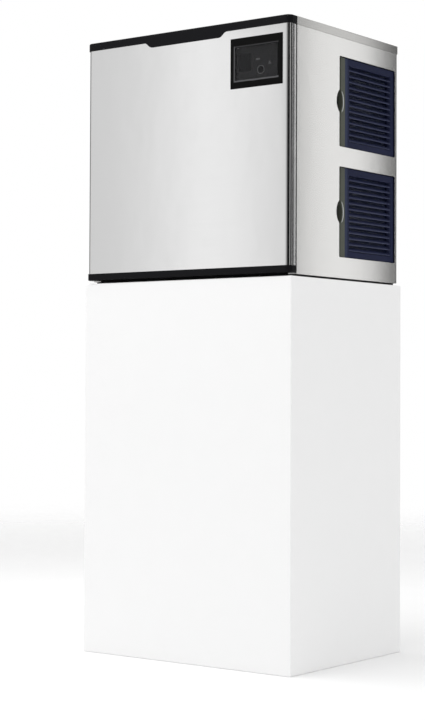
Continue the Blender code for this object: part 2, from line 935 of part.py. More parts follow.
def make_control_panel(door, flap_pivot):
    """Bezel, smoked flap, fascia, display and board in the front panel."""
    def spread(share, back):
        return (rail_side * share, rail_bottom * share, rail_side * share, rail_top * share, back)

    flange_back = skin_set - fit
    wall = (bezel_wall, bezel_wall, bezel_wall, bezel_wall)
    section = [
        spread(0.0, bezel_slope),
        spread(0.3, 0.0),
        spread(0.8, 0.0),
        spread(1.0, bezel_edge - bezel_slope),
        spread(1.0, flange_back),
        (*wall, flange_back),
        (*wall, bezel_depth),
        spread(0.0, bezel_depth),
    ]
    opening = ((glass_left, glass_low), (glass_right, glass_top))
    bezel = add("control_bezel", ring_frame(*opening, section), BLACK_PLASTIC, carrier=door)
    notch = circle((notch_x, glass_low), notch_radius, 20)
    cut(bezel, plate("Y", [notch], front_y - steel, front_y + notch_depth))

    flap_low = (glass_left + flap_clearance, glass_low + flap_clearance)
    flap_high = (glass_right - flap_clearance, flap_z - flap_clearance)
    sheet = plate("Y", [rectangle(flap_low, flap_high)], front_y + flap_set, flap_y)
    flap = add("control_flap", sheet, DARK_GLASS, (0, flap_y, flap_z), flap_pivot)
    barrel = circle((flap_y, flap_z), barrel_radius, 10)
    join(flap, plate("X", [barrel], glass_left + fit, glass_right - fit))

    low = (glass_left + fit, glass_low + fit)
    high = (glass_right - fit, glass_top - fit)
    display = ((display_x, display_z), (display_x + display_width, display_z + display_height))
    power = circle((power_x, power_z), power_radius)
    holes = [rectangle(*display), power, menu_outline(), up_outline()]
    face = plate("Y", [rectangle(low, high), *holes], fascia_y, fascia_y + fascia_thickness)
    add("control_fascia", face, BLACK_PLASTIC, carrier=door)
    lens_low = (display[0][0] + fit, display[0][1] + fit)
    lens_high = (display[1][0] - fit, display[1][1] - fit)
    lens = plate("Y", [rectangle(lens_low, lens_high)], fascia_y - button_proud / 2, board_y - fit)
    add("lcd_module", lens, DARK_GLASS, carrier=door)
    board = plate("Y", [rectangle(low, high)], board_y, board_y + board_thickness)
    add("display_board", board, GREEN_BOARD, carrier=door)


def make_buttons(door):
    """Three buttons that travel into the fascia, each held by a flange behind it."""
    face = fascia_y - button_proud
    heel = fascia_y + fascia_thickness + fit
    tail = board_y - button_travel - fit
    cap = power_radius - fit
    groove = power_groove
    profile = [
        (0, tail - face),
        (cap + button_flange, tail - face),
        (cap + button_flange, heel - face),
        (cap, heel - face),
        (cap, 0),
        (groove + button_proud, 0),
        (groove, button_proud / 2),
        (groove - button_proud, 0),
        (0, 0),
    ]
    power = (power_x, face, power_z)
    add("power_button", turned(profile, power, (0, 1, 0), 16), GREY_PLASTIC, power, door)
    shapes = (("up_button", arrow_x, arrow_z, up_outline), ("menu_button", menu_x, menu_z, menu_outline))
    for name, x, z, outline in shapes:
        button = add(name, plate("Y", [outline(-fit)], face, tail), GREY_PLASTIC, (x, face, z), door)
        join(button, plate("Y", [outline(button_flange)], heel, tail))


def make_walls():
    """Insulated bulkhead and the partition between the ice and the control box."""
    bulk = plate(
        "Y",
        [rectangle((-frame_x, floor_z + fit), (guide_inner - fit, inside_top))],
        bulkhead_front,
        bulkhead_rear,
    )
    add("bulkhead", bulk, WHITE_PLASTIC)
    wall = rectangle((post_front + post_depth + fit, floor_z + fit), (bulkhead_front - fit, inside_top))
    add("side_partition", plate("X", [wall], partition_x, partition_x + partition_thickness), WHITE_PLASTIC)


def make_evaporator():
    """Grid of ice cells with the serpentine tube behind it, in a plastic frame."""
    bm = bmesh.new()
    bmesh.ops.create_grid(bm, x_segments=cell_columns, y_segments=cell_rows, size=0.5)
    bmesh.ops.scale(bm, verts=bm.verts, vec=(evaporator_width, evaporator_height, 1))
    cells = bm.faces[:]
    bmesh.ops.inset_individual(bm, faces=cells, thickness=cell_wall / 2)
    floors = bmesh.ops.extrude_discrete_faces(bm, faces=cells)["faces"]
    for cell in floors:
        middle = cell.calc_center_median()
        for vert in cell.verts:
            vert.co = middle + (vert.co - middle) * cell_draft
            vert.co.z -= cell_depth
    rim = [edge for edge in bm.edges if edge.is_boundary]
    grown = bmesh.ops.extrude_edge_only(bm, edges=rim)["geom"]
    behind = [item for item in grown if isinstance(item, bmesh.types.BMVert)]
    bmesh.ops.translate(bm, verts=behind, vec=(0, 0, -cell_depth - grid_back))
    bmesh.ops.holes_fill(bm, edges=[edge for edge in bm.edges if edge.is_boundary], sides=0)
    middle = ((evaporator_x0 + evaporator_x1) / 2, evaporator_front, (evaporator_low + evaporator_top) / 2)
    upright = Matrix.Translation(middle) @ Matrix.Rotation(math.pi / 2, 4, "X")
    bmesh.ops.transform(bm, verts=bm.verts, matrix=upright)
    add("evaporator_grid", bm, NICKEL)

    tube_y = evaporator_rear + serpentine_radius + fit
    left = evaporator_x0 + serpentine_inset
    right = evaporator_x1 - serpentine_inset
    low = evaporator_low + serpentine_inset
    high = evaporator_top - serpentine_inset
    pitch = (high - low) / (serpentine_passes - 1)
    corners = [(right, frame_rear, low)]
    for number in range(serpentine_passes):
        z = low + pitch * number
        ends = (right, left) if number % 2 == 0 else (left, right)
        corners += [(ends[0], tube_y, z), (ends[1], tube_y, z)]
    corners.append((corners[-1][0], frame_rear, high))
    pipe("evaporator_tube", corners, serpentine_radius, serpentine_radius * 1.8, COPPER)

    outline = rectangle((frame_x0, evaporator_low - frame_wall), (frame_x1, frame_top))
    hole = rectangle((evaporator_x0 - fit, evaporator_low - fit), (evaporator_x1 + fit, evaporator_top + fit))
    frame = add("evaporator_frame", plate("Y", [outline, hole], frame_front, frame_rear), WHITE_PLASTIC)
    notch = curtain_rod + ear_notch
    seat = notch + ear_plate
    ear = [(curtain_y - seat, curtain_z - seat), (frame_front + steel, curtain_z - seat)]
    ear += [(frame_front + steel, curtain_z + notch), (curtain_y + notch, curtain_z + notch)]
    ear += arc((curtain_y, curtain_z), notch, 0, -180, 8)
    ear += [(curtain_y - notch, curtain_z + notch), (curtain_y - seat, curtain_z + notch)]
    for x in (frame_x0, frame_x1 - ear_plate):
        join(frame, plate("X", [ear], x, x + ear_plate))
    pin_y = frame_front - probe_ahead
    pin_z = evaporator_top + probe_rise
    lug = rectangle((pin_y - probe_hub, pin_z - probe_hub), (frame_front + steel, pin_z + probe_hub))
    bore = circle((pin_y, pin_z), probe_pin + fit, 8)
    join(frame, plate("X", [lug, bore], probe_x, probe_x + lug_width))


def make_probe():
    """Ice thickness probe that hangs ahead of the cells and swings out as the ice grows."""
    pin_y = frame_front - probe_ahead
    pin_z = evaporator_top + probe_rise
    start = probe_x + lug_width + fit
    hub = rod((start, pin_y, pin_z), (start + probe_width, pin_y, pin_z), probe_hub, 12)
    probe = add("ice_probe", hub, GREY_PLASTIC, (probe_x, pin_y, pin_z))
    join(probe, rod((probe_x, pin_y, pin_z), (start + steel, pin_y, pin_z), probe_pin, 8))
    arm = rectangle((pin_y - probe_thickness / 2, pin_z - probe_length), (pin_y + probe_thickness / 2, pin_z))
    join(probe, plate("X", [arm], start + probe_thickness, start + probe_width - probe_thickness))


def curtain_path():
    """Section of the water curtain from its rod down to the lip over the trough."""
    low = curtain_z - curtain_drop
    bow = curtain_y - curtain_bulge
    return [
        (curtain_y, curtain_z),
        (bow, curtain_z - curtain_drop * 0.12),
        (bow, curtain_z - curtain_drop * 0.72),
        (curtain_y - curtain_bulge * 0.3, curtain_z - curtain_drop * 0.90),
        (curtain_y + curtain_bulge * 0.8, low),
    ]


def make_curtain():
    """Swinging water curtain with its rod and three stiffening ribs."""
    left = frame_x0 + ear_plate + steel
    right = frame_x1 - ear_plate - steel
    section = strip(curtain_path(), curtain_thickness)
    sheet = plate("X", [section], left, right)
    curtain = add("water_curtain", sheet, CLEAR_PLASTIC, (left, curtain_y, curtain_z))
    join(curtain, rod((frame_x0, curtain_y, curtain_z), (frame_x1, curtain_y, curtain_z), curtain_rod, 10))
    rib = strip(curtain_path()[1:4], -curtain_thickness)
    for share in (0.25, 0.5, 0.75):
        x = left + (right - left) * share
        join(curtain, plate("X", [rib], x, x + curtain_thickness))


def make_water_system():
    """Distributor, trough, pump, hose, level switch, spout, dump valve and drain."""
    pipe_y = frame_front - fit - distributor_radius
    pipe_z = frame_top - distributor_radius
    start = evaporator_x0
    end = frame_x1 + distributor_radius
    tube = rod((start, pipe_y, pipe_z), (end, pipe_y, pipe_z), distributor_radius, 14)
    distributor = add("water_distributor", tube, WHITE_PLASTIC)
    bore = circle((pipe_y, pipe_z), distributor_radius - trough_wall, 10)
    cut(distributor, plate("X", [bore], start + trough_wall, end + steel))
    gap = evaporator_width / distributor_holes
    drills = []
    for number in range(distributor_holes):
        spot = circle((evaporator_x0 + gap * (number + 0.5), pipe_y), distributor_hole, 6)
        drills.append(plate("Z", [spot], pipe_z - 2 * distributor_radius, pipe_z))
    cut(distributor, together(*drills))

    low = (trough_x0, trough_y0, trough_low)
    high = (trough_x1, trough_y1, trough_top)
    add("water_trough", tray(low, high, trough_wall, trough_wall, (0, 0, 1)), WHITE_PLASTIC)

    plate_top = trough_top + fit + pump_plate
    motor_low = plate_top + pump_motor_rise
    motor_high = motor_low + pump_motor_height
    volute_top = volute_z + volute_height
    profile = [
        (0, motor_high),
        (pump_motor_radius, motor_high),
        (pump_motor_radius, motor_low),
        (pump_column, motor_low),
        (pump_column, volute_top),
        (volute_radius, volute_top),
        (volute_radius, volute_z),
        (volute_eye, volute_z),
        (volute_eye, volute_z + pump_wall),
        (volute_radius - pump_wall, volute_z + pump_wall),
        (volute_radius - pump_wall, volute_top - pump_wall),
        (pump_bore, volute_top - pump_wall),
        (pump_bore, motor_low - pump_wall),
        (0, motor_low - pump_wall),
    ]
    pump = add("water_pump", turned(profile, (pump_x, pump_y, 0), (0, 0, 1), 16), BLACK_PLASTIC)
    half = pump_motor_radius + pump_plate
    bridge = rectangle((pump_x - half, trough_y0), (pump_x + half, trough_y1))
    column = circle((pump_x, pump_y), pump_column - steel)
    join(pump, plate("Z", [bridge, column], trough_top + fit, plate_top))
    outlet_z = volute_z + volute_height / 2
    outlet_x = pump_x - volute_radius + steel
    hose_x = pump_x - half - hose_radius - 2 * fit
    join(pump, rod((outlet_x, pump_y, outlet_z), (outlet_x - 2 * steel, pump_y, outlet_z), hose_radius, 10))
    hose_start = outlet_x - 2 * steel - fit
    corners = [
        (hose_start, pump_y, outlet_z),
        (hose_x, pump_y, outlet_z),
        (hose_x, pump_y, pipe_z - 4 * hose_bend),
        (hose_x, pipe_y, pipe_z - 2 * hose_bend),
        (hose_x, pipe_y, pipe_z),
        (end + fit, pipe_y, pipe_z),
    ]
    pipe("pump_hose", corners, hose_radius, hose_radius * 1.6, CLEAR_PLASTIC)

    drop = volute_z + pump_wall + fit
    disc = drop + impeller_vane
    spin = turned(
        [
            (0, disc),
            (impeller_radius, disc),
            (impeller_radius, disc + impeller_disc),
            (impeller_shaft, disc + impeller_disc),
            (impeller_shaft, motor_low - pump_wall - fit),
            (0, motor_low - pump_wall - fit),
        ],
        (pump_x, pump_y, 0),
        (0, 0, 1),
        16,
    )
    impeller = add("pump_impeller", spin, GREY_PLASTIC, (pump_x, pump_y, disc))
    vanes = []
    for number in range(impeller_vanes):
        turn = Matrix.Rotation(math.tau * number / impeller_vanes, 4, "Z")
        start = (impeller_shaft, -steel / 2, drop)
        vane = block(start, (impeller_radius - steel, steel / 2, disc + impeller_disc / 2))
        bmesh.ops.transform(vane, verts=vane.verts, matrix=Matrix.Translation((pump_x, pump_y, 0)) @ turn)
        vanes.append(vane)
    join(impeller, together(*vanes))


def make_level_switch():
    """Level switch with its stem, and the float that rides on it."""
    seat_low = trough_top + fit
    seat_high = seat_low + pump_plate
    foot = trough_low + trough_wall + volute_rise
    rest = foot + pump_plate + fit
    stop = rest + float_height + float_travel + fit
    clip = float_stem * 2
    centre = (float_x, pump_y, 0)
    stem = turned(
        [
            (0, foot),
            (clip, foot),
            (clip, foot + pump_plate),
            (float_stem, foot + pump_plate),
            (float_stem, stop),
            (clip, stop),
            (clip, stop + pump_plate),
            (float_stem, stop + pump_plate),
            (float_stem, seat_low),
            (clip, seat_low),
            (clip, seat_high + clip),
            (0, seat_high + clip),
        ],
        centre,
        (0, 0, 1),
        12,
    )
    switch = add("level_switch", stem, GREY_PLASTIC)
    bridge = rectangle((float_x - float_plate / 2, trough_y0), (float_x + float_plate / 2, trough_y1))
    join(switch, plate("Z", [bridge], seat_low, seat_high))
    bore = float_stem + float_clearance
    top = rest + float_height
    ring = [(bore, rest), (float_radius, rest), (float_radius, top), (bore, top)]
    add("level_float", turned(ring, centre, (0, 0, 1)), BLACK_RUBBER, (float_x, pump_y, rest))


def make_plumbing():
    """Inlet valve, fill spout, dump valve and drain fitting."""
    lead = frame_x0 - spout_offset
    corners = [(lead, frame_rear, spout_z), (lead, pump_y, spout_z), (lead, pump_y, trough_top + fit)]
    pipe("fill_spout", corners, inlet_pipe * 0.9, inlet_pipe * 1.6, CLEAR_PLASTIC)

    dump_top = trough_low - fit
    body = rod((dump_x, pump_y, dump_top - dump_height), (dump_x, pump_y, dump_top), dump_radius, 16)
    dump = add("dump_valve", body, GREY_PLASTIC)
    join(dump, rod((dump_x, pump_y, drain_z()), (dump_x, frame_rear, drain_z()), drain_radius, 12))

    start = bulkhead_rear + fit
    end = rear_y + fitting_reach
    drain = turned(
        [
            (drain_radius, 0),
            (drain_radius, rear_panel_front - nut_thickness - start),
            (nut_radius, rear_panel_front - nut_thickness - start),
            (nut_radius, rear_panel_front - fit - start),
            (drain_radius, rear_panel_front - fit - start),
            (drain_radius, end - start),
            (drain_bore, end - start),
            (drain_bore, 0),
        ],
        (dump_x, start, drain_z()),
        (0, 1, 0),
        12,
    )
    add("drain_fitting", drain, WHITE_PLASTIC)

    inlet = turned(
        [
            (0, 0),
            (inlet_pipe, 0),
            (inlet_pipe, rear_panel_front - 3 * nut_radius - start),
            (nut_radius, rear_panel_front - 3 * nut_radius - start),
            (nut_radius, rear_panel_front - fit - start),
            (inlet_radius, rear_panel_front - fit - start),
            (inlet_radius, end - start),
            (inlet_pipe, end - start),
            (inlet_pipe, end - fitting_reach - start),
            (0, end - fitting_reach - start),
        ],
        (inlet_x, start, inlet_z),
        (0, 1, 0),
        12,
    )
    valve = add("inlet_valve", inlet, BRASS)
    low = Vector((inlet_x - coil_size / 2, rear_panel_front - 2 * nut_radius - coil_size / 2, inlet_z))
    join(valve, block(low, low + Vector((coil_size, coil_size, coil_size + nut_radius)), steel))


def make_filter_guide():
    """Moulded guide behind the right panel: two wells that take the filters, with a ledge at their back."""
    low = lower_window - guide_rim
    high = upper_window + window_height + guide_rim
    outline = rectangle((window_front - guide_front, low), (window_rear + guide_rim, high))
    wells = [window_loop(lower_window), window_loop(upper_window)]
    rims = []
    for start in (lower_window, upper_window):
        rims.append(
            rectangle(
                (window_front + guide_ledge, start + guide_ledge),
                (window_rear - guide_ledge, start + window_height - guide_ledge),
            )
        )
    guide = add("filter_guide", plate("X", [outline, *rims], guide_inner, ledge_face), BLACK_PLASTIC)
    join(guide, plate("X", [outline, *wells], ledge_face - steel, guide_outer))


def make_filter(name, window):
    """Louvred air filter: a moulded frame with a scooped front rail and leaning slats."""
    face = side_outer - filter_set
    back = ledge_face + fit
    low = window + filter_clearance
    high = window + window_height - filter_clearance
    front = window_front + filter_gap
    rear = window_rear - filter_clearance
    middle = (low + high) / 2
    radius = (moon_height**2 / 4 + scoop_depth**2) / (2 * scoop_depth)
    half = math.degrees(math.asin(moon_height / 2 / radius))
    scoop = arc((front + scoop_depth - radius, middle), radius, half, -half, 8)
    outline = [(front, high), *scoop, (front, low), (rear, low), (rear, high)]
    field_low = (front + filter_rail, low + filter_bottom_band)
    field_high = (rear - filter_rear_band, high - filter_top_band)
    axis = (face - filter_axis_set, rear - filter_axis_in, middle)
    frame = plate("X", [outline, rectangle(field_low, field_high)], back, face)
    piece = add(name, frame, BLUE_PLASTIC, axis)
    pitch = (field_high[1] - field_low[1]) / louvre_count
    slats = []
    for number in range(louvre_count):
        z = field_low[1] + pitch * (number + 0.5)
        slope = [(face - steel, z - louvre_lean / 2), (back + steel, z + louvre_lean / 2)]
        slat = plate("Y", [strip(slope, louvre_thickness)], field_low[0] - steel, field_high[0] + steel)
        slats.append(slat)
    join(piece, together(*slats))


def make_condenser():
    """Finned coil between two end plates that stand on the base."""
    span = condenser_high - condenser_low
    pitch = span / fin_count
    left = condenser_left
    right = condenser_right - condenser_gap
    rise = []
    for number in range(fin_count):
        low = condenser_low + pitch * number
        rise += [(right, low), (right, low + fin_thickness)]
        rise += [(right - fin_root, low + fin_thickness), (right - fin_root, low + pitch)]
    fall = [(left + right - x, z) for x, z in rise]
    core = plate("Y", [rise + fall[::-1]], condenser_front, condenser_back)
    coil = add("condenser_coil", core, ALUMINIUM)
    sheet = rectangle((left, floor_z + fit), (condenser_right, condenser_high + fin_root))
    join(coil, plate("Y", [sheet], condenser_front - end_plate, condenser_front + fit))
    join(coil, plate("Y", [sheet], condenser_back - fit, condenser_back + end_plate))


def make_fan():
    """Shroud with its orifice, motor on a three-armed bracket, and the fan."""
    low = (shroud_left, condenser_front, condenser_low)
    high = (shroud_right, condenser_back, condenser_high)
    shroud = add("fan_shroud", tray(low, high, shroud_wall, shroud_wall, (1, 0, 0)), GALVANISED)
    centre = (fan_y, fan_z)
    seat = circle(centre, orifice_radius + collar_wall / 2, 28)
    cut(shroud, plate("X", [seat], shroud_left - steel, shroud_left + shroud_wall + steel))
    collar = [circle(centre, orifice_radius + collar_wall, 28), circle(centre, orifice_radius, 28)]
    join(shroud, plate("X", collar, shroud_left - collar_depth, shroud_left + shroud_wall + steel))

    hub_left = shroud_left - collar_depth
    hub_right = hub_left + fan_hub_length
    spider_x = hub_left - spider_standoff
    motor_left = spider_x - spider_thickness / 2 - motor_length
    shaft_end = hub_left + fan_bore_depth - fit - motor_left
    body = turned(
        [
            (0, 0),
            (motor_radius - motor_round, 0),
            (motor_radius, motor_round),
            (motor_radius, motor_length - motor_round),
            (motor_radius - motor_round, motor_length),
            (shaft_radius, motor_length),
            (shaft_radius, shaft_end),
            (0, shaft_end),
        ],
        (motor_left, fan_y, fan_z),
        (1, 0, 0),
        20,
    )
    motor = add("fan_motor", body, BLACK_PAINT)
    root = motor_radius - 2 * motor_round
    reach = orifice_radius + collar_wall + spider_arm
    bracket = strip([(spider_x, root), (spider_x, reach), (shroud_left - fit, reach)], spider_thickness)
    for number in range(spider_arms):
        turn = Matrix.Rotation(math.tau * number / spider_arms + math.pi / 2, 4, "X")
        arm = plate("Z", [bracket], -spider_arm / 2, spider_arm / 2)
        bmesh.ops.transform(arm, verts=arm.verts, matrix=Matrix.Translation((0, fan_y, fan_z)) @ turn)
        join(motor, arm)

    sides = fan_blades * 4
    bore = shaft_radius + shaft_clearance
    hub = turned(
        [
            (0, fan_bore_depth),
            (bore, fan_bore_depth),
            (bore, 0),
            (fan_hub_radius, 0),
            (fan_hub_radius, fan_hub_length),
            (0, fan_hub_length),
        ],
        (0, 0, 0),
        (0, 0, 1),
        sides,
    )
    tip = orifice_radius - fan_tip_gap
    bmesh.ops.recalc_face_normals(hub, faces=hub.faces)
    walls = [face for face in hub.faces if face.calc_center_median().xy.length > fan_hub_radius * 0.9]
    walls.sort(key=lambda face: math.atan2(face.calc_center_median().y, face.calc_center_median().x))
    for root in walls[::4]:
        grow_blade(hub, root, tip)
    turn = Vector((0, 0, 1)).rotation_difference(Vector((1, 0, 0))).to_matrix().to_4x4()
    bmesh.ops.transform(hub, verts=hub.verts, matrix=Matrix.Translation((hub_left, fan_y, fan_z)) @ turn)
    add("fan_blade", hub, ALUMINIUM, (hub_left, fan_y, fan_z))


def grow_blade(hub, root, tip):
    """Extrude one face of the hub outwards through the blade's leaning sections."""
    centre = root.calc_center_median()
    out = Vector((centre.x, centre.y, 0)).normalized()
    side = Vector((-out.y, out.x, 0))
    up = Vector((0, 0, 1))
    signs = []
    for vert in root.verts:
        offset = vert.co - centre
        signs.append((math.copysign(1, offset.dot(side)), math.copysign(1, offset.z)))
    for section in range(1, blade_sections + 1):
        share = section / blade_sections
        root = bmesh.ops.extrude_discrete_faces(hub, faces=[root])["faces"][0]
        angle = math.radians(root_lean + (tip_lean - root_lean) * share)
        chord = fan_chord * (1 - blade_swell / 2 + blade_swell * math.sin(math.pi / 2 * share))
        along = side * math.cos(angle) + up * math.sin(angle)
        across = up * math.cos(angle) - side * math.sin(angle)
        base = out * (fan_hub_radius + (tip - fan_hub_radius) * share) + up * centre.z
        for vert, (leading, upper) in zip(root.verts, signs):
            reach = along * leading * chord / 2
            vert.co = base + reach + across * upper * blade_thickness / 2
        for face in {face for vert in root.verts for face in vert.link_faces} - {root}:
            split_outwards(face)


def split_outwards(face):
    """Cut a twisted four-sided face along the diagonal that stands further out, so thin walls stay apart."""
    if len(face.verts) == 4:
        face.normal_update()
        a, b, c, d = face.verts
        ends = (a, c) if (a.co + c.co - b.co - d.co).dot(face.normal) > 0 else (b, d)
        bmesh.utils.face_split(face, *ends)


def make_compressor():
    """Welded compressor can on its foot plate, with its terminal cover."""
    x = compressor_x
    y = compressor_y
    low = floor_z + fit + foot_height
    tall = foot_plate + compressor_height
    profile = [(compressor_radius * out, low + tall * up) for out, up in CAN_PROFILE]
    can = add("compressor", turned(profile, (x, y, 0), (0, 0, 1), 20), BLACK_PAINT)
    half = foot_half
    outline = rectangle((x - half, y - half), (x + half, y + half), foot_radius)
    join(can, plate("Z", [outline], low, low + foot_plate))
    spot = half - foot_radius
    for foot in rectangle((x - spot, y - spot), (x + spot, y + spot)):
        join(can, plate("Z", [circle(foot, foot_bolt, 10)], floor_z + fit, low + steel))
    for stub_x in (x - stub_offset, x + stub_offset):
        join(can, rod((stub_x, y, low + tall / 2), (stub_x, y, stub_top()), stub_radius, 10))
    seat = compressor_radius * CAN_PROFILE[CAN_WAIST][0] + fit
    cover_z = low + tall * terminal_share
    cover_low = (x - coil_size, y - seat - terminal_depth, cover_z)
    cover_high = (x + coil_size, y - seat + coil_size / 2, cover_z + coil_size)
    cover = add("terminal_cover", block(cover_low, cover_high, 2 * steel), BLACK_PLASTIC)
    cut(cover, plate("Z", [circle((x, y), seat, 40)], low, low + tall))


def stub_top():
    """Top of the compressor's two tube stubs."""
    return floor_z + fit + foot_height + foot_plate + compressor_height + stub_rise


def make_refrigeration():
    """Copper lines, drier and valves between compressor, condenser and evaporator."""
    y = compressor_y
    line_y = bulkhead_rear + fit + drier_radius
    coil_x = condenser_right - condenser_thickness / 2
    coil_y = condenser_front - end_plate - fit
    stub_z = stub_top() + fit
    tail_x = evaporator_x1 - serpentine_inset
    high = condenser_high - line_inset
    low = condenser_low + line_inset
    out_x = compressor_x + stub_offset
    discharge = [
        (out_x, y, stub_z),
        (out_x, y, high),
        (out_x, line_y, high),
        (coil_x, line_y, high),
        (coil_x, coil_y, high),
    ]
    pipe("discharge_line", discharge, line_radius, line_bend, COPPER)
    back_x = compressor_x - stub_offset
    suction_z = evaporator_top - serpentine_inset
    suction = [
        (tail_x, bulkhead_rear + fit, suction_z),
        (tail_x, y, suction_z),
        (back_x, y, suction_z),
        (back_x, y, stub_z),
    ]
    pipe("suction_line", suction, stub_radius, line_bend, COPPER)

    valve_z = evaporator_low + serpentine_inset
    drier_start = tail_x + valve_radius + fit
    spun = turned(
        [
            (0, 0),
            (line_radius, 0),
            (line_radius, drier_neck),
            (drier_radius, 2 * drier_neck),
            (drier_radius, drier_length - 2 * drier_neck),
            (line_radius, drier_length - drier_neck),
            (line_radius, drier_length),
            (0, drier_length),
        ],
        (drier_start, line_y, valve_z),
        (1, 0, 0),
        14,
    )
    add("filter_drier", spun, COPPER)
    liquid = [
        (coil_x, coil_y, low),
        (coil_x, line_y, low),
        (drier_start + drier_length + 2 * line_bend, line_y, low),
        (drier_start + drier_length + 2 * line_bend, line_y, valve_z),
        (drier_start + drier_length + fit, line_y, valve_z),
    ]
    pipe("liquid_line", liquid, line_radius, line_bend, COPPER)

    start = bulkhead_rear + fit
    reach = 2 * (line_y - start)
    body = turned(
        [(0, 0), (valve_radius, 0), (valve_radius, reach), (0, reach)],
        (tail_x, start, valve_z),
        (0, 1, 0),
        12,
    )
    valve = add("expansion_valve", body, BRASS)
    top = valve_z + valve_radius
    spot = (tail_x, line_y)
    join(valve, plate("Z", [circle(spot, stub_radius, 12)], valve_z, top + 1.5 * valve_radius))
    join(valve, plate("Z", [circle(spot, drier_radius, 12)], top + valve_radius, top + 2 * valve_radius))
    solenoid = rod((hot_gas_x, start, hot_gas_z), (hot_gas_x, start + reach, hot_gas_z), valve_radius, 12)
    hot = add("hot_gas_valve", solenoid, BRASS)
    middle = Vector((hot_gas_x, start + reach / 2, hot_gas_z))
    join(hot, rod(middle, middle + Vector((0, 0, 3 * valve_radius)), stub_radius, 10))
    corner = middle + Vector((-coil_size / 2, -reach / 2, valve_radius + line_radius))
    join(hot, block(corner, corner + Vector((coil_size, coil_size, coil_size)), 2 * steel))


def make_electrics():
    """Control box with its lid beside the ice compartment, and the cable gland at the back."""
    left = partition_x + partition_thickness + fit
    right = guide_inner - fit
    front = post_front + post_depth + fit
    top = inside_top - box_top_gap
    low = (left, front + lid_thickness + fit, box_low)
    high = (right, bulkhead_front - fit, top)
    add("control_box", tray(low, high, steel, steel, (0, -1, 0)), GALVANISED)
    lid = rectangle((left, box_low), (right, top))
    add("control_box_lid", plate("Y", [lid], front, front + lid_thickness), GALVANISED)

    start = rear_panel_front - fit - nut_thickness
    end = rear_y + fitting_reach - nut_thickness / 2
    gland = turned(
        [
            (gland_bore, 0),
            (gland_nut, 0),
            (gland_nut, nut_thickness),
            (gland_radius, nut_thickness),
            (gland_radius, rear_panel_back + fit - start),
            (gland_nut, rear_panel_back + fit - start),
            (gland_nut, rear_panel_back + fit + nut_thickness - start),
            (gland_radius, end - start),
            (gland_bore, end - start),
        ],
        (gland_x, start, gland_z),
        (0, 1, 0),
        12,
    )
    add("cable_gland", gland, BLACK_PLASTIC)


def make_all():
    clear_scene()
    make_base()
    make_cabinet()
    make_rear_panel()
    door = pivot("front_panel_pivot", (0, hinge_y, hinge_z))
    flap_pivot = pivot("control_flap_pivot", (0, flap_y, flap_z))
    make_front_panel(door)
    make_control_panel(door, flap_pivot)
    make_buttons(door)
    make_walls()
    make_evaporator()
    make_probe()
    make_curtain()
    make_water_system()
    make_level_switch()
    make_plumbing()
    make_filter_guide()
    make_filter("lower_filter", lower_window)
    make_filter("upper_filter", upper_window)
    make_condenser()
    make_fan()
    make_compressor()
    make_refrigeration()
    make_electrics()


make_all()
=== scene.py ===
# %% [markdown]
# # Modular ice maker head: the looks
# A modular head is a steel cabinet that makes the ice and drops it through an opening in its base.
# The shapes come from a CAD model that is already exact, so this script only dresses them: it rounds
# the edges that a press or a mould would round, adds the trim that is too fine for a solid, and gives
# each surface its finish. Every length is in metres, +X is right, +Y is back and +Z is up.

import json
import math

import bmesh
import bpy
from mathutils import Matrix, Vector

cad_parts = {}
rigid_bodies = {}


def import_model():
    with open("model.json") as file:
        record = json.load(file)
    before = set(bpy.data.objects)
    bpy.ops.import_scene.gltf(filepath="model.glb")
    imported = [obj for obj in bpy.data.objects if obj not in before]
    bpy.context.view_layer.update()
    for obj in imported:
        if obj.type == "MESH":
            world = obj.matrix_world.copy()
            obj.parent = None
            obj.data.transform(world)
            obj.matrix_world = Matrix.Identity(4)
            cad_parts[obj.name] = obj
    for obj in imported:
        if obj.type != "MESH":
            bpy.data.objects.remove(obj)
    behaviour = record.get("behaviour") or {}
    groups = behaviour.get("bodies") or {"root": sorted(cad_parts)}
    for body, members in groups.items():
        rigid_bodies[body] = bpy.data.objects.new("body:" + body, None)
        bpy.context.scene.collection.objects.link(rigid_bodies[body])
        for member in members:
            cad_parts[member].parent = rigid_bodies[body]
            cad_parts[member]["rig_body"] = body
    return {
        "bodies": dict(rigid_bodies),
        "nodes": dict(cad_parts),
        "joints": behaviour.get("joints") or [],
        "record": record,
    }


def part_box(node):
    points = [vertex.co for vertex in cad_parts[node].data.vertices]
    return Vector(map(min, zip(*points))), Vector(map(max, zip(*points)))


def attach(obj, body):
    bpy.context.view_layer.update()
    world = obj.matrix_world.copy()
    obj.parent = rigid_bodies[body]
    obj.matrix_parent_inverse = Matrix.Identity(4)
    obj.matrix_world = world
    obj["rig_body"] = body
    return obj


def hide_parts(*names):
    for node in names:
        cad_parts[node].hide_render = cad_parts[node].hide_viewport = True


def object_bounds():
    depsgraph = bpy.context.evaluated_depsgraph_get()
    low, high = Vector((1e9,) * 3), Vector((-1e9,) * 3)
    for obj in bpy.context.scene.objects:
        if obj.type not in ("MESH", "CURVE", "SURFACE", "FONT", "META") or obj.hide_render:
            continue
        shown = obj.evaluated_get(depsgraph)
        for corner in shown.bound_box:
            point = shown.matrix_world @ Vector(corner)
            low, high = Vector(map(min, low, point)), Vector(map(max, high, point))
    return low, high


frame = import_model()
nodes = frame["nodes"]
cad_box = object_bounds()

# %% [markdown]
# ## Writing shader maths as Python
# A finish is a small graph of nodes. Wiring it by hand hides the idea, so one class wraps a node's
# output and teaches it Python's operators: `1 - mask * 0.3` then adds the Math nodes by itself. A
# plain number stays a number until it meets a socket.


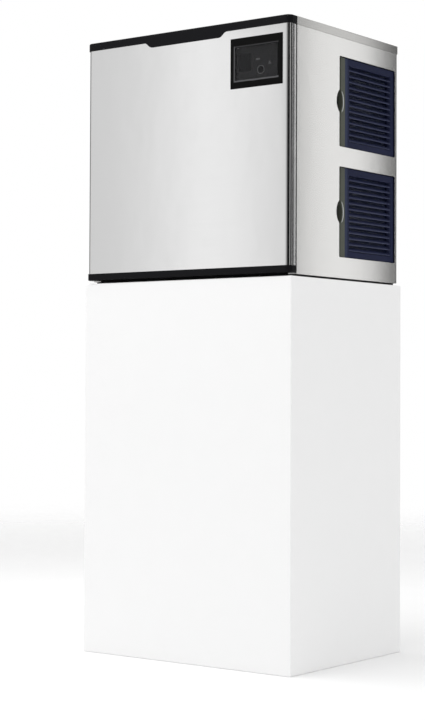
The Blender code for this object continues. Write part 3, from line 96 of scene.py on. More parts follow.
# %% A socket that can be added, multiplied and compared
class Value:
    def __init__(self, finish, output):
        self.finish = finish
        self.output = output

    def maths(self, operation, first, second=0.0):
        return self.finish.node("ShaderNodeMath", {"operation": operation}, {0: first, 1: second})

    def __add__(self, other):
        return self.maths("ADD", self, other)

    def __sub__(self, other):
        return self.maths("SUBTRACT", self, other)

    def __rsub__(self, other):
        return self.maths("SUBTRACT", other, self)

    def __mul__(self, other):
        return self.maths("MULTIPLY", self, other)

    def __pow__(self, other):
        return self.maths("POWER", self, other)

    def __gt__(self, other):
        return self.maths("GREATER_THAN", self, other)

    def __lt__(self, other):
        return self.maths("LESS_THAN", self, other)

    __radd__ = __add__
    __rmul__ = __mul__

    def wave(self):
        return self.maths("SINE", self)

    def either(self, other):
        return self.maths("MAXIMUM", self, other)

    def rise(self, low, high):
        """0 below low and 1 above high, with a soft step between."""
        settings = {"interpolation_type": "SMOOTHSTEP"}
        values = {"Value": self, "From Min": low, "From Max": high}
        return self.finish.node("ShaderNodeMapRange", settings, values)


print("a Value takes + - * ** < >, wave, either and rise")

# %% [markdown]
# ## One object for each finish
# A finish starts as Blender's Principled shader with the numbers that are the same all over. What
# varies over the surface is then fed to its colour, roughness or normal. Places are read in the
# object's own space, which for every piece here is the frame of the whole machine, so a grain or a
# speck keeps its real size and rides with the piece when it moves.


# %% A finish and its nodes
# A Mix node has its sockets once for each kind of data, so its colours go by number.
mix_colours, mix_result = (6, 7), 2


class Finish:
    def __init__(self, name, **constants):
        self.material = bpy.data.materials.new(name)
        self.material.use_nodes = True
        self.tree = self.material.node_tree
        self.surface = self.tree.nodes["Principled BSDF"]
        for socket, constant in constants.items():
            self.surface.inputs[socket.replace("_", " ")].default_value = constant
        self.place = self.node("ShaderNodeTexCoord", {}, {}, "Object")

    def node(self, kind, settings, values, output=0):
        """Add a node: its settings first, then the numbers or links of its sockets."""
        node = self.tree.nodes.new(kind)
        for setting, choice in settings.items():
            setattr(node, setting, choice)
        for socket, value in values.items():
            self.give(node.inputs[socket], value)
        return Value(self, node.outputs[output]) if node.outputs else None

    def give(self, socket, value):
        if isinstance(value, Value):
            self.tree.links.new(value.output, socket)
        else:
            socket.default_value = value

    def feed(self, socket, value):
        self.give(self.surface.inputs[socket], value)

    def axes(self, names):
        """The place on the surface along each named axis, in metres."""
        values = {"Vector": self.place}
        return [self.node("ShaderNodeSeparateXYZ", {}, values, name) for name in names]

    def noise(self, scale, stretch=(1, 1, 1), detail=3.0):
        """Cloudy 0 to 1 pattern, `scale` lumps to the metre, squeezed along the axes of `stretch`."""
        place = self.node("ShaderNodeMapping", {}, {"Vector": self.place, "Scale": stretch})
        return self.node("ShaderNodeTexNoise", {}, {"Vector": place, "Scale": scale, "Detail": detail})

    def blend(self, share, first, second):
        """Colour that goes from first to second as share goes from 0 to 1."""
        values = {"Factor": share}
        for socket, colour in zip(mix_colours, (first, second)):
            values[socket] = (*colour, 1.0) if isinstance(colour, tuple) else colour
        return self.node("ShaderNodeMix", {"data_type": "RGBA"}, values, mix_result)

    def bump(self, height, depth):
        """Tilt the surface by a height pattern whose full swing is `depth` metres."""
        self.feed("Normal", self.node("ShaderNodeBump", {}, {"Height": height, "Distance": depth}))


print("a Finish takes noise, blend and bump")

# %% [markdown]
# ## Brushed stainless steel
# The skin is stainless sheet with a horizontal brushed grain. Each scratch is far thinner than a
# pixel, and together they smear reflections up and down, which gives steel its soft upright bands.
# Noise drawn out along X and Y and squeezed along Z does the same to the normals. Handling leaves
# faint smudges in the roughness, and rolling leaves broad, nearly invisible waves and clouds of tone.
# The sides and the cover are brushed a little rougher than the front, and the cover is a darker sheet.


# %% Make the brushed steel
def brushed_steel(name, tone, gloss):
    finish = Finish(name, Metallic=1.0)
    scratches_to_a_metre, drawn_out = 1400, (0.008, 0.008, 1.0)
    grain = finish.noise(scratches_to_a_metre, drawn_out, 2.0)
    clouds = finish.noise(5, (1.0, 1.0, 0.45))
    smudges = finish.noise(28, (1.0, 1.0, 0.7), 5.0).rise(0.55, 0.80)
    dark = tuple(0.965 * part for part in tone)
    finish.feed("Base Color", finish.blend(clouds * 0.6 + grain * 0.4, dark, tone))
    finish.feed("Roughness", gloss + grain * 0.05 + smudges * 0.015)
    sheet_wave, wave_depth = finish.noise(5, (1.0, 1.0, 0.6)), 0.0004
    finish.bump(grain * 0.004 + sheet_wave, wave_depth)
    print("finish", name)
    return finish.material


skin_steel = brushed_steel("brushed_steel", (0.88, 0.88, 0.88), 0.10)
side_steel = brushed_steel("brushed_steel_sides", (0.87, 0.865, 0.85), 0.17)
cover_steel = brushed_steel("brushed_steel_cover", (0.60, 0.595, 0.58), 0.17)

# %% [markdown]
# ## Galvanised sheet
# Posts, boxes and shrouds inside are zinc coated. Zinc freezes in flat crystals called spangles, each
# with its own tone. A Voronoi pattern gives the crystals, and each cell's random value its grey.


# %% Make the galvanised sheet
def galvanised_sheet():
    finish = Finish("galvanised_sheet", Metallic=1.0)
    spangles_to_a_metre = 90.0
    values = {"Vector": finish.place, "Scale": spangles_to_a_metre}
    spangle = finish.node("ShaderNodeTexVoronoi", {}, values, "Color")
    tone = finish.node("ShaderNodeSeparateColor", {}, {"Color": spangle}, "Red")
    haze = finish.noise(12)
    grey, pale_grey = (0.46, 0.47, 0.48), (0.62, 0.63, 0.64)
    finish.feed("Base Color", finish.blend(tone * 0.6 + haze * 0.4, grey, pale_grey))
    finish.feed("Roughness", 0.34 + tone * 0.16 + haze * 0.08)
    finish.bump(tone, 0.00003)
    print("finish galvanised_sheet")
    return finish.material


galvanised = galvanised_sheet()

# %% [markdown]
# ## Moulded plastics and rubber
# Housings are injection moulded. The mould is spark eroded, so the plastic carries a fine even grain,
# and light catches it as a soft sheen. One recipe serves them all: a fine grain for the bump, slow
# clouds for the roughness and a faint shift of tone, with the numbers chosen for each plastic. The
# grain is given in lumps to the metre and in metres of depth, so every plastic has its real texture.


# %% Make a moulded plastic
def moulded(name, colour, roughness, grain, depth, shift=0.12, **constants):
    finish = Finish(name, **{"Specular_IOR_Level": 0.25, **constants})
    fine = finish.noise(grain, detail=2.0)
    clouds = finish.noise(14, detail=4.0)
    light = tuple(part * (1 + shift) for part in colour)
    finish.feed("Base Color", finish.blend(clouds * 0.7 + fine * 0.3, colour, light))
    finish.feed("Roughness", roughness + clouds * 0.10 - 0.05)
    finish.bump(fine, depth)
    print("finish", name)
    return finish.material


trim_black = (0.004, 0.004, 0.005)
black_plastic = moulded("black_plastic", trim_black, 0.38, 1400, 0.00003, 0.5, Specular_IOR_Level=0.10)
fascia_plastic = moulded("fascia_plastic", (0.12, 0.12, 0.123), 0.40, 1400, 0.00002)
white_plastic = moulded("white_plastic", (0.72, 0.73, 0.72), 0.36, 900, 0.00002, 0.06)
grey_plastic = moulded("grey_plastic", (0.24, 0.25, 0.26), 0.45, 1200, 0.00002)
button_plastic = moulded("button_plastic", (0.50, 0.51, 0.52), 0.40, 1500, 0.00002)
black_rubber = moulded("black_rubber", (0.018, 0.018, 0.018), 0.78, 700, 0.00006, 0.5)
black_paint = moulded("black_paint", (0.014, 0.014, 0.015), 0.26, 260, 0.00004, 0.3, Coat_Weight=0.4)
clear_plastic = moulded("clear_plastic", (0.70, 0.75, 0.77), 0.14, 300, 0.00001, 0.05, Alpha=0.34)
smoked_plastic = moulded("smoked_plastic", (0.008, 0.008, 0.009), 0.07, 200, 0.000003, 0.2, Alpha=0.45)

# %% [markdown]
# ## Bare metals of the cooling circuit
# Copper pipe and brass darken in patches, and nickel and aluminium are only a little uneven. The
# recipe is one slow pattern that mixes a bright and a dull colour and makes the dull parts rougher.


# %% Make an aged metal
def aged_metal(name, bright, dull, roughness, patch, depth=0.00003):
    finish = Finish(name, Metallic=1.0)
    patches = finish.noise(patch, detail=6.0).rise(0.40, 0.66)
    fine = finish.noise(800, detail=2.0)
    finish.feed("Base Color", finish.blend(patches, bright, dull))
    finish.feed("Roughness", roughness + patches * 0.18 + fine * 0.05)
    finish.bump(fine, depth)
    print("finish", name)
    return finish.material


copper = aged_metal("copper_pipe", (0.78, 0.38, 0.22), (0.42, 0.20, 0.12), 0.22, 30)
brass = aged_metal("turned_brass", (0.76, 0.59, 0.27), (0.50, 0.37, 0.17), 0.24, 40)
nickel = aged_metal("nickel_plate", (0.72, 0.70, 0.65), (0.58, 0.56, 0.52), 0.20, 24)
aluminium = aged_metal("aluminium", (0.76, 0.77, 0.78), (0.60, 0.61, 0.62), 0.34, 20)

# %% [markdown]
# ## Display and board
# The display is dark glass over faint cells: two crossed waves draw the lines between them. The board
# is green lacquer over copper tracks, and one bent wave is enough for those, because the fascia hides
# most of it.


# %% Make the display and board finishes
def display_glass():
    finish = Finish("display_glass", Roughness=0.12)
    cell_turns = 2600
    x, z = finish.axes("XZ")
    cells = (x * cell_turns).wave().either((z * cell_turns).wave()).rise(0.75, 0.95)
    finish.feed("Base Color", finish.blend(cells, (0.010, 0.012, 0.013), (0.018, 0.022, 0.024)))
    print("finish display_glass")
    return finish.material


def green_board():
    finish = Finish("green_board", Roughness=0.30)
    track_turns, bends = 900, finish.noise(40, detail=0.0) * 9
    tracks = (finish.axes("X")[0] * track_turns + bends).wave().rise(0.55, 0.70)
    finish.feed("Base Color", finish.blend(tracks, (0.012, 0.11, 0.045), (0.035, 0.22, 0.09)))
    finish.bump(tracks, 0.00003)
    print("finish green_board")
    return finish.material


display = display_glass()
board = green_board()

# %% [markdown]
# ## The bezel and the ringed button
# The frame round the control panel is gloss black, and its inner slope catches the room as a paler
# line on the left, below and, more faintly, above. At this size the line is a few pixels wide, so it
# is painted where the slope is, which the box of the CAD node gives. The power button has a ring
# printed on it: all places between two distances from its middle.


# %% Make the bezel and button finishes
def bezel_finish(low, high, rim):
    """Gloss black frame, `rim` metres wide, with a paler inner slope."""
    finish = Finish("bezel_plastic", Specular_IOR_Level=0.07)
    fine = finish.noise(1600, detail=2.0)
    x, y, z = finish.axes("XYZ")
    front, left_line, foot_line, head_line, head_rim = 0.0004, 0.001, 0.0105, 0.0270, 0.0232
    slope = y > low.y + front
    left = x < low.x + rim + left_line
    below = z < low.z + rim + foot_line
    above = (z > high.z - head_line) * 0.45
    across = (x > low.x + rim - 0.004) * (x < high.x - rim + 0.002)
    upright = (z > low.z + rim + 0.004) * (z < high.z - head_rim)
    line = slope * across * upright * left.either(below).either(above)
    gloss_black, caught_light = (0.0025, 0.0025, 0.0025), (0.11, 0.11, 0.115)
    finish.feed("Base Color", finish.blend(line * (0.5 + fine * 0.5), gloss_black, caught_light))
    finish.feed("Roughness", 0.20 + fine * 0.06)
    finish.bump(fine, 0.00001)
    print("finish bezel_plastic")
    return finish.material


def ringed_plastic(middle, inner, outer):
    """Dark button with a pale printed ring round `middle`, an (x, z) place."""
    finish = Finish("ringed_button", Specular_IOR_Level=0.25)
    x, z = finish.axes("XZ")
    across, up = x - middle[0], z - middle[1]
    reach = (across * across + up * up) ** 0.5
    soft = 0.0003
    ring = reach.rise(inner - soft, inner + soft) - reach.rise(outer - soft, outer + soft)
    fine = finish.noise(1500, detail=2.0)
    finish.feed("Base Color", finish.blend(ring, (0.030, 0.030, 0.032), (0.52, 0.53, 0.54)))
    finish.feed("Roughness", 0.36 + fine * 0.08)
    finish.bump(fine, 0.00002)
    print("finish ringed_button")
    return finish.material


bezel_rim, ring_inset, ring_width = 0.0145, 0.0009, 0.0031
bezel_plastic = bezel_finish(*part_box("control_bezel"), bezel_rim)
power_low, power_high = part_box("power_button")
power_middle = (power_low + power_high) / 2
ring_outer = (power_high.x - power_low.x) / 2 - ring_inset
ringed_button = ringed_plastic((power_middle.x, power_middle.z), ring_outer - ring_width, ring_outer)

# %% [markdown]
# ## The two-tone filters
# Each air filter is dark blue, and its front rail, where a thumb goes, is a pale grey moulding, so the
# colour changes at a fixed place along Y. The frame's face is a dusty dark blue and the slats behind it
# a lighter blue. Two marks are painted highlights: the lips of the slats, a thin layer along X, are
# painted pale, and a band of the frame's front bar next to the rail is painted lighter. Behind the
# slats is a woven net: two crossed waves leave threads, and Alpha takes away what is between them.


# %% Make the filter finishes
def filter_plastic(rail_rear, front):
    finish = Finish("filter_plastic", Specular_IOR_Level=0.15)
    fine = finish.noise(1300, detail=2.0)
    dust = finish.noise(9, (1.0, 1.0, 2.0), 6.0)
    x, y = finish.axes("XY")
    # The last of these is the width of a band of painted highlight next to the rail.
    lip_rear, lip_front, rim_front, rail_highlight_width = front - 0.0032, front - 0.0016, front - 0.0008, 0.014
    frame = finish.blend(dust, (0.006, 0.009, 0.034), (0.011, 0.016, 0.054))
    lips = (x > lip_rear) * (x < lip_front)
    # Painted highlight: the slats' lips are painted pale, their strength varied by the dust pattern,
    # for the light their edges catch.
    slat_lip_highlight = finish.blend(lips * (0.35 + dust * 0.5), (0.030, 0.036, 0.084), (0.105, 0.118, 0.190))
    blue = finish.blend(x.rise(lip_front, rim_front), slat_lip_highlight, frame)
    # Painted highlight: a band of the frame's front bar next to the rail is painted lighter than the
    # frame.
    blue = finish.blend(y < rail_rear + rail_highlight_width, blue, (0.024, 0.032, 0.072))
    pale = finish.blend(dust, (0.070, 0.076, 0.062), (0.095, 0.102, 0.084))
    finish.feed("Base Color", finish.blend(y < rail_rear, blue, pale))
    finish.feed("Roughness", 0.36 + dust * 0.14)
    finish.bump(fine, 0.00003)
    print("finish filter_plastic")
    return finish.material


def filter_net(pitch, wire):
    """Woven net: threads along Y and Z, and nothing between them."""
    finish = Finish("filter_net", Roughness=0.6, Specular_IOR_Level=0.1)
    turns, soft = math.pi / pitch, 0.08
    along, up = ((axis * turns).wave() for axis in finish.axes("YZ"))
    threads = 1 - along.maths("MINIMUM", along * along, up * up)
    finish.feed("Base Color", finish.blend(threads, (0.004, 0.006, 0.020), (0.010, 0.016, 0.050)))
    finish.feed("Alpha", threads.rise(1 - wire - soft, 1 - wire + soft))
    print("finish filter_net")
    return finish.material


rail_length, net_pitch, net_wire = 0.025, 0.0024, 0.32
filter_low, filter_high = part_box("upper_filter")
filter_blue = filter_plastic(filter_low.y + rail_length, filter_high.x)
net = filter_net(net_pitch, net_wire)

# %% [markdown]
# ## From a CAD solid to a finished piece
# A solid has knife edges and flat facets, and real edges are pressed or moulded with a small radius
# that catches the light. So each piece starts as a copy of its solid: the triangles are welded and
# flat ones joined, faces are shaded smooth across shallow angles, and a Bevel modifier rounds every
# sharp edge by the radius that its process gives. The long bends of folded sheet are wider than that,
# so they are rounded in the mesh. A Weighted Normal modifier then keeps large faces shading flat,
# which matters on steel, where a tilt of half a degree bends the whole reflection. The copy stands for
# the solid and rides with its body.


# %% Round a copy of a solid
def fold_edges(mesh, radius, sheet=0.001):
    """Round a folded sheet's long bends: outside by the radius, inside by the radius less the sheet."""
    large_area, least_angle = 0.006, math.radians(60)
    large = {face for face in mesh.faces if face.calc_area() > large_area}
    bends = [edge for edge in mesh.edges if len(large.intersection(edge.link_faces)) == 2]
    bends = [edge for edge in bends if edge.calc_face_angle() > least_angle]
    for outside in (True, False):
        some = [edge for edge in bends if edge.is_valid and edge.is_convex == outside]
        offset = radius if outside else radius - sheet
        bmesh.ops.bevel(mesh, geom=some, offset=offset, segments=5, profile=0.5, affect="EDGES")


def make_piece(name, mesh, look):
    """Turn a bmesh into an object with one material."""
    piece = bpy.data.objects.new(name, bpy.data.meshes.new(name))
    mesh.to_mesh(piece.data)
    mesh.free()
    piece.data.materials.append(look)
    bpy.context.collection.objects.link(piece)
    return piece


def edge_radius(piece, radius, segments=2):
    """Round the sharp edges of a piece."""
    bevel = piece.modifiers.new("edge_radius", "BEVEL")
    bevel.width = radius
    bevel.segments = segments
    return bevel


def ride_with(piece, node):
    """Let a piece move with a node's body."""
    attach(piece, nodes[node]["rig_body"])


def finished(node, look, slot, radius, fold=0.0, sharp=38):
    """Dress one node: a rounded copy of it with its look, on its body. Angles are in degrees."""
    weld, coplanar = 0.000002, math.radians(0.5)
    mesh = bmesh.new()
    mesh.from_mesh(nodes[node].data)
    bmesh.ops.remove_doubles(mesh, verts=mesh.verts, dist=weld)
    bmesh.ops.dissolve_limit(mesh, angle_limit=coplanar, verts=mesh.verts, edges=mesh.edges)
    if fold:
        fold_edges(mesh, fold)
    for face in mesh.faces:
        face.smooth = True
        face.material_index = 0
    for edge in mesh.edges:
        edge.smooth = edge.calc_face_angle(0) < math.radians(sharp)
    piece = make_piece("finished_" + node, mesh, look)
    if radius:
        edge_radius(piece, radius).angle_limit = math.radians(sharp)
        flat = piece.modifiers.new("flat_faces_shade_flat", "WEIGHTED_NORMAL")
        flat.keep_sharp = True
    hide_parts(node)
    ride_with(piece, node)


print("a node is dressed by finished(node, look, slot, radius, fold)")

# %% [markdown]
# ## Dressing every solid
# Each line gives a node's finish, its slot in the record, the radius of its edges and, for folded
# sheet, the radius of its bends. Cut sheet gets 0.3 mm, moulded plastic 0.3 to 2 mm, and rubber 0.6 to
# 1 mm. Round pipes, the grid of ice cells and the finned block keep their edges, which are too fine to
# round without a great many faces.


# %% Dress every solid
# node: (look, slot, radius of the edges, radius of the bends)
dress = {
    "front_panel": (skin_steel, "brushed_steel_skin", 0.0003),
    "top_cover": (cover_steel, "brushed_steel_skin", 0.0003, 0.0022),
    "left_side_panel": (side_steel, "brushed_steel_skin", 0.0003, 0.0024),
    "right_side_panel": (side_steel, "brushed_steel_skin", 0.0003, 0.0024),
    "rear_panel": (side_steel, "brushed_steel_skin", 0.0003, 0.0020),
    "top_trim": (black_plastic, "black_plastic", 0.0012),
    "bottom_trim": (black_plastic, "black_plastic", 0.0012),
    "control_bezel": (bezel_plastic, "black_plastic", 0.0008),
    "control_fascia": (fascia_plastic, "black_plastic", 0.0004),
    "control_flap": (smoked_plastic, "dark_glass", 0.0006),
    "lcd_module": (display, "display", 0.0004),
    "display_board": (board, "green_board", 0.0),
    "power_button": (ringed_button, "grey_plastic", 0.0006),
    "up_button": (button_plastic, "grey_plastic", 0.0006),
    "menu_button": (button_plastic, "grey_plastic", 0.0006),
    "base_pan": (black_plastic, "black_plastic", 0.0006),
    "base_gasket": (black_rubber, "black_rubber", 0.001),
    "door_gasket": (black_rubber, "black_rubber", 0.001),
    "door_liner": (white_plastic, "white_plastic", 0.002),
    "filter_guide": (black_plastic, "black_plastic", 0.0004),
    "upper_filter": (filter_blue, "blue_plastic", 0.0005),
    "lower_filter": (filter_blue, "blue_plastic", 0.0005),
    "left_front_post": (galvanised, "galvanised", 0.0003),
    "right_front_post": (galvanised, "galvanised", 0.0003),
    "top_rail": (galvanised, "galvanised", 0.0003),
    "fan_shroud": (galvanised, "galvanised", 0.0003),
    "control_box": (galvanised, "galvanised", 0.0004),
    "control_box_lid": (galvanised, "galvanised", 0.0003),
    "bulkhead": (white_plastic, "white_plastic", 0.001),
    "side_partition": (white_plastic, "white_plastic", 0.0006),
    "evaporator_frame": (white_plastic, "white_plastic", 0.001),
    "water_trough": (white_plastic, "white_plastic", 0.0008),
    "water_distributor": (white_plastic, "white_plastic", 0.0006),
    "drain_fitting": (white_plastic, "white_plastic", 0.0006),
    "water_curtain": (clear_plastic, "clear_plastic", 0.0006),
    "pump_hose": (clear_plastic, "clear_plastic", 0.0),
    "fill_spout": (clear_plastic, "clear_plastic", 0.0),
    "dump_valve": (grey_plastic, "grey_plastic", 0.0006),
    "ice_probe": (grey_plastic, "grey_plastic", 0.0003),
    "level_switch": (grey_plastic, "grey_plastic", 0.0004),
    "level_float": (black_rubber, "black_rubber", 0.0006),
    "pump_impeller": (grey_plastic, "grey_plastic", 0.0003),
    "water_pump": (black_plastic, "black_plastic", 0.0006),
    "terminal_cover": (black_plastic, "black_plastic", 0.001),
    "cable_gland": (black_plastic, "black_plastic", 0.0006),
    "evaporator_grid": (nickel, "nickel", 0.0),
    "evaporator_tube": (copper, "copper", 0.0),
    "discharge_line": (copper, "copper", 0.0),
    "suction_line": (copper, "copper", 0.0),
    "liquid_line": (copper, "copper", 0.0),
    "filter_drier": (copper, "copper", 0.0),
    "expansion_valve": (brass, "brass", 0.0005),
    "hot_gas_valve": (brass, "brass", 0.0005),
    "inlet_valve": (brass, "brass", 0.0005),
    "condenser_coil": (aluminium, "aluminium", 0.0),
    "fan_blade": (aluminium, "aluminium", 0.0004),
    "fan_motor": (black_paint, "black_paint", 0.0008),
    "compressor": (black_paint, "black_paint", 0.002),
}
for node, given in dress.items():
    finished(node, *given)
print(len(dress), "pieces dressed,", len(nodes) - len(dress), "nodes left as they are")

# %% [markdown]
# ## The net behind the louvres
# An air filter stops fluff with a fine nylon net welded behind its louvres. The net is one thin sheet
# whose finish leaves the holes out, because modelled threads would cost more faces than the rest of
# the machine. It lies inside the frame's thickness, so it swings with the filter.


# %% Stretch the nets
def flat_sheet(name, corners, look):
    mesh = bmesh.new()
    mesh.faces.new([mesh.verts.new(corner) for corner in corners])
    return make_piece(name, mesh, look)


def stretch_net(node, inset=0.012, lift=0.0005, thickness=0.0002):
    low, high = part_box(node)
    back = low.x + lift
    front, rear = low.y + rail_length, high.y - inset / 2
    foot, head = low.z + inset, high.z - inset
    corners = ((back, front, foot), (back, rear, foot), (back, rear, head), (back, front, head))
    piece = flat_sheet(node + "_net", corners, net)
    piece.modifiers.new("thickness", "SOLIDIFY").thickness = thickness
    ride_with(piece, node)


stretch_net("upper_filter")
stretch_net("lower_filter")
print("two nets")

# %% [markdown]
# ## Seam shade, thumb lips and screws
# A thin black strip on the front flange of each side is painted shade: it stands for the shadow in the
# seam and draws the dark line beside the rounded corner. The scoop in each filter's rail ends in a
# moulded lip that takes the thumb: a ridge with a half-round section, bent along half a circle and
# thinner towards its ends. Its pale colour is a painted highlight along the rim. Hexagon-headed screws
# with washers hold the rear sheet, so a fitter can take it off.


# %% Lay the strips of painted seam shade
def block(mesh, low, high):
    """Add a box to a mesh."""
    size, middle = Vector(high) - Vector(low), (Vector(high) + Vector(low)) / 2
    place = Matrix.Translation(middle) @ Matrix.Diagonal((*size, 1))
    bmesh.ops.create_cube(mesh, size=1.0, matrix=place)


def seam_shade_strip(panel, side):
    """Black strip of painted shade in the seam on a side panel's front flange. side is 1 for the right
    and -1 for the left.
    """
    low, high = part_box(panel)
    inner, outer = sorted((side * 0.362, side * 0.379))
    front, rear, foot, head = 0.0009, 0.0001, 0.008, 0.004
    mesh = bmesh.new()
    block(mesh, (inner, low.y - front, low.z + foot), (outer, low.y - rear, high.z - head))
    bmesh.ops.bevel(mesh, geom=mesh.edges[:], offset=0.0003, segments=2, profile=0.5, affect="EDGES")
    ride_with(make_piece("painted_shade_strip_" + panel, mesh, seam_shade), panel)


# Painted shade: the strip is near black and stands for the shadow in the seam.
seam_shade = moulded("painted_seam_shade", (0.005, 0.005, 0.005), 0.85, 900, 0.0002, 0.5, Specular_IOR_Level=0.05)
seam_shade_strip("right_side_panel", 1)
seam_shade_strip("left_side_panel", -1)
print("two foam strips")


# %% Bend the thumb lips
def thumb_lip(node, reach=0.0165, tall=0.066, width=0.0032, rise=0.0012, steps=28, sides=7):
    """A half-round ridge bent along the end of the scoop."""
    low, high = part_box(node)
    middle, root = (low.z + high.z) / 2, high.x - 0.0002
    start, sweep = 0.12, 0.76
    mesh = bmesh.new()
    rows = []
    for step in range(steps + 1):
        turn = math.pi * (start + sweep * step / steps)
        y, z = low.y + reach * math.sin(turn), middle + tall / 2 * math.cos(turn)
        thick = width * math.sin(math.pi * (step + 0.5) / (steps + 1)) ** 0.5
        row = []
        for corner in range(sides):
            swing = math.pi * corner / (sides - 1)
            spread = thick / 2 * math.cos(swing)
            out, aside = root + rise * math.sin(swing), spread * math.sin(turn)
            row.append(mesh.verts.new((out, y + aside, z + spread * math.cos(turn))))
        rows.append(row)
    for row, after in zip(rows, rows[1:]):
        for a in range(sides):
            b = (a + 1) % sides
            mesh.faces.new((row[a], row[b], after[b], after[a])).smooth = True
    mesh.faces.new(rows[0])
    mesh.faces.new(rows[-1])
    bmesh.ops.recalc_face_normals(mesh, faces=mesh.faces)
    ride_with(make_piece("lip_" + node, mesh, lip_painted_highlight), node)


# Painted highlight: the lip is coloured pale for the light along its rim.
lip_painted_highlight = moulded("lip_painted_highlight", (0.60, 0.62, 0.62), 0.35, 1200, 0.00002, 0.2)
thumb_lip("upper_filter")
thumb_lip("lower_filter")
print("two thumb lips")


# %% Set the rear screws
def hex_screw(mesh, place):
    """Hexagon-headed sheet screw with its washer, its axis along Y."""
    turn = Matrix.Rotation(-math.pi / 2, 4, "X")
    washer, head, taper = (20, 0.0046, 0.0, 0.0009), (6, 0.0034, 0.0009, 0.0024), 0.94
    for corners, radius, start, tall in (washer, head):
        middle = Matrix.Translation((0, 0, start + tall / 2))
        sizes = {"segments": corners, "radius1": radius, "radius2": radius * taper, "depth": tall}
        matrix = Matrix.Translation(place) @ turn @ middle
        bmesh.ops.create_cone(mesh, cap_ends=True, matrix=matrix, **sizes)


def rear_screws(inset=0.011, end=0.03, rows=4, gap=0.00005):
    low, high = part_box("rear_panel")
    face = high.y + gap
    mesh = bmesh.new()
    for row in range(rows):
        height = low.z + end + row * (high.z - low.z - 2 * end) / (rows - 1)
        for x in (low.x + inset, high.x - inset):
            hex_screw(mesh, (x, face, height))
    piece = make_piece("rear_screws", mesh, nickel)
    edge_radius(piece, 0.0002)
    ride_with(piece, "rear_panel")
    print(2 * rows, "rear screws on the face at", round(face, 5))


rear_screws()

# %% [markdown]
# ## The stage
# The photograph looks slightly up at the cabinet, from 0.3 m below its base, so the part can't stand
# on the floor. It stands on a plain plinth of its own footprint. The floor fades out with distance,
# so it has no edge against the white behind it, and steel doesn't see it.


# %% Make the plinth and the floor
def slab(name, low, high, look, radius):
    mesh = bmesh.new()
    block(mesh, low, high)
    piece = make_piece(name, mesh, look)
    edge_radius(piece, radius, 3)
    return piece


def fading_floor(start, end):
    """Pale floor that is solid up to start and gone at end, in metres from the middle."""
    finish = Finish("pale_floor", Roughness=0.75)
    finish.feed("Base Color", finish.blend(finish.noise(6), (0.88, 0.88, 0.88), (0.90, 0.90, 0.90)))
    x, y = finish.axes("XY")
    finish.feed("Alpha", 1 - ((x * x + y * y) ** 0.5).rise(start, end))
    return finish.material


plinth_height, ledge, floor_reach, floor_thickness = 1.14, 0.004, 9, 0.05
pale = moulded("pale_stage", (0.88, 0.88, 0.88), 0.75, 200, 0.00001, 0.02)
low, high = Vector(cad_box[0]), Vector(cad_box[1])
foot = (low.x - ledge, low.y + ledge, -plinth_height)
slab("plinth", foot, (high.x + ledge, high.y, 0.0), pale, 0.003)
floor_low = (-floor_reach, -floor_reach, -plinth_height - floor_thickness)
floor_high = (floor_reach, floor_reach, -plinth_height)
floor = slab("floor", floor_low, floor_high, fading_floor(1.5, 7.0), 0.01)
floor.visible_glossy = False
print("stage", plinth_height, "m high")

# %% [markdown]
# ## Light
# Polished and brushed steel show their surroundings more than the lamps. The rounded front corner
# mirrors the studio from left to right as a row of bands, and it reads pale, dark, a thin pale strip,
# dark, pale: a white room with one dark opening that holds a narrow window. A gap on the left draws
# the dark line down the far corner, and a soft glow makes the middle of the front brightest. The world
# is painted that way by compass heading, 0 being straight ahead of the front and 90 to its right. Only
# glossy rays see the painting: matt surfaces get an even light, and the camera sees plain white. The
# opening is only as high as a doorway, so steel that mirrors the floor or the ceiling stays pale.


# %% Paint the surroundings
class Surroundings(Finish):
    def __init__(self, world):
        world.use_nodes = True
        self.tree = world.node_tree
        self.tree.nodes.clear()
        self.place = self.node("ShaderNodeTexCoord", {}, {}, "Generated")

    def band(self, heading, start, end, soft):
        """1 between two headings, in degrees, with soft ends."""
        return heading.rise(start - soft, start + soft) - heading.rise(end - soft, end + soft)


def paint_surroundings(world):
    room = Surroundings(world)
    x, y, z = room.axes("XYZ")
    heading = x.maths("ARCTAN2", x, y * -1) * math.degrees(1)
    doorway = z.rise(-0.12, -0.03) - z.rise(0.23, 0.36)
    opening = (heading.rise(-25, 34) - heading.rise(127, 137)) * doorway
    window = room.band(heading, 75, 89, 3) * doorway
    left_gap = room.band(heading, -128, -72, 10) * doorway
    glow = room.band(heading, -37.75, -35.2, 1.5)
    side = room.band(heading, 128, 170, 14)
    wall, soft_light, white = 0.67, 0.90, 1.0
    mirrored = wall + glow * 0.50 + side * 0.34 - opening * wall - left_gap * 0.52 + window * 0.50
    glossy_ray = room.node("ShaderNodeLightPath", {}, {}, "Is Glossy Ray")
    camera_ray = room.node("ShaderNodeLightPath", {}, {}, "Is Camera Ray")
    strength = soft_light + glossy_ray * (mirrored - soft_light)
    strength = strength + camera_ray * (white - strength)
    values = {"Color": (1, 1, 1, 1), "Strength": strength}
    light = room.node("ShaderNodeBackground", {}, values)
    room.node("ShaderNodeOutputWorld", {}, {"Surface": light})
    print("surroundings of", len(room.tree.nodes), "nodes")


studio = bpy.context.scene.world or bpy.data.worlds.new("studio")
bpy.context.scene.world = studio
paint_surroundings(studio)

# %% [markdown]
# ## Lamp and flags
# One large soft lamp overhead gives the cabinet its shadow on the plinth. A photographer shapes the
# gloss of a steel side with flags: black cards that only the metal sees. Two of them stand behind the
# cabinet's right, with a gap between. The side mirrors that gap as a soft bright band near its front,
# and falls off to dark towards its rear edge.


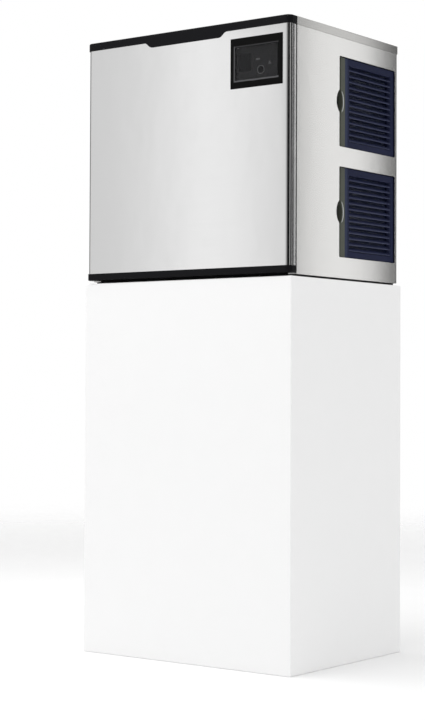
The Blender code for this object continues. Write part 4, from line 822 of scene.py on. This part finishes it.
# %% Hang the lamp
def soft_lamp(name, place, target, size, power):
    lamp = bpy.data.lights.new(name, "AREA")
    lamp.shape = "RECTANGLE"
    lamp.size = lamp.size_y = size
    lamp.energy = power
    holder = bpy.data.objects.new(name, lamp)
    holder.location = place
    aim = Vector(target) - Vector(place)
    holder.rotation_euler = aim.to_track_quat("-Z", "Y").to_euler()
    holder.visible_camera = False
    bpy.context.collection.objects.link(holder)
    print(name, "of", power, "W")


soft_lamp("overhead", (-0.6, -0.8, 3.2), (0, 0, 0.3), 3.0, 90)


# %% Set the flags
def flag(name, left, right, rear=1.15, foot=-0.4, head=1.5):
    corners = ((left, rear, foot), (right, rear, foot), (right, rear, head), (left, rear, head))
    card = flat_sheet(name, corners, flag_black)
    for ray in ("camera", "diffuse", "transmission", "shadow"):
        setattr(card, "visible_" + ray, False)
    print(name, round(right - left, 3), "m wide")


flag_black = moulded("flag_black", (0.01, 0.01, 0.01), 0.95, 200, 0.00001, 0.02)
flag("rear_flag", 0.58, 0.96)
flag("front_flag", 1.36, 1.80)

# %% [markdown]
# ## Camera
# The camera was fitted to the photograph from 21 corners of the cabinet, its control panel and its
# filters: a long lens from the front right, a little below the base, looking 1.5 degrees up, rolled by
# a quarter of a degree and shifted, because the photograph is a crop. On the whole the corners agree to
# about half a pixel. The head's left end is 2 pixels less tall than in the photograph.

# %% Place the camera
turn, lift, roll = (math.radians(angle) for angle in (37.713, 1.455, 0.275))
look = Vector((-math.sin(turn) * math.cos(lift), math.cos(turn) * math.cos(lift), math.sin(lift)))
level_right = Vector((math.cos(turn), math.sin(turn), 0))
level_up = level_right.cross(look)
right = level_right * math.cos(roll) + level_up * math.sin(roll)
up = level_up * math.cos(roll) - level_right * math.sin(roll)
camera = bpy.data.objects.new("camera", bpy.data.cameras.new("camera"))
camera.data.lens = 87.013
camera.data.sensor_width = 36.0
camera.data.shift_x = 0.0556
camera.data.shift_y = -0.0254
camera.data.clip_end = 100.0
columns = Matrix((right, up, -look)).transposed().to_4x4()
camera.matrix_world = Matrix.Translation((3.1457, -4.427, -0.3164)) @ columns
bpy.context.collection.objects.link(camera)
bpy.context.scene.camera = camera
bpy.context.scene.view_settings.view_transform = "Standard"
print("camera at", tuple(round(part, 3) for part in camera.matrix_world.translation))
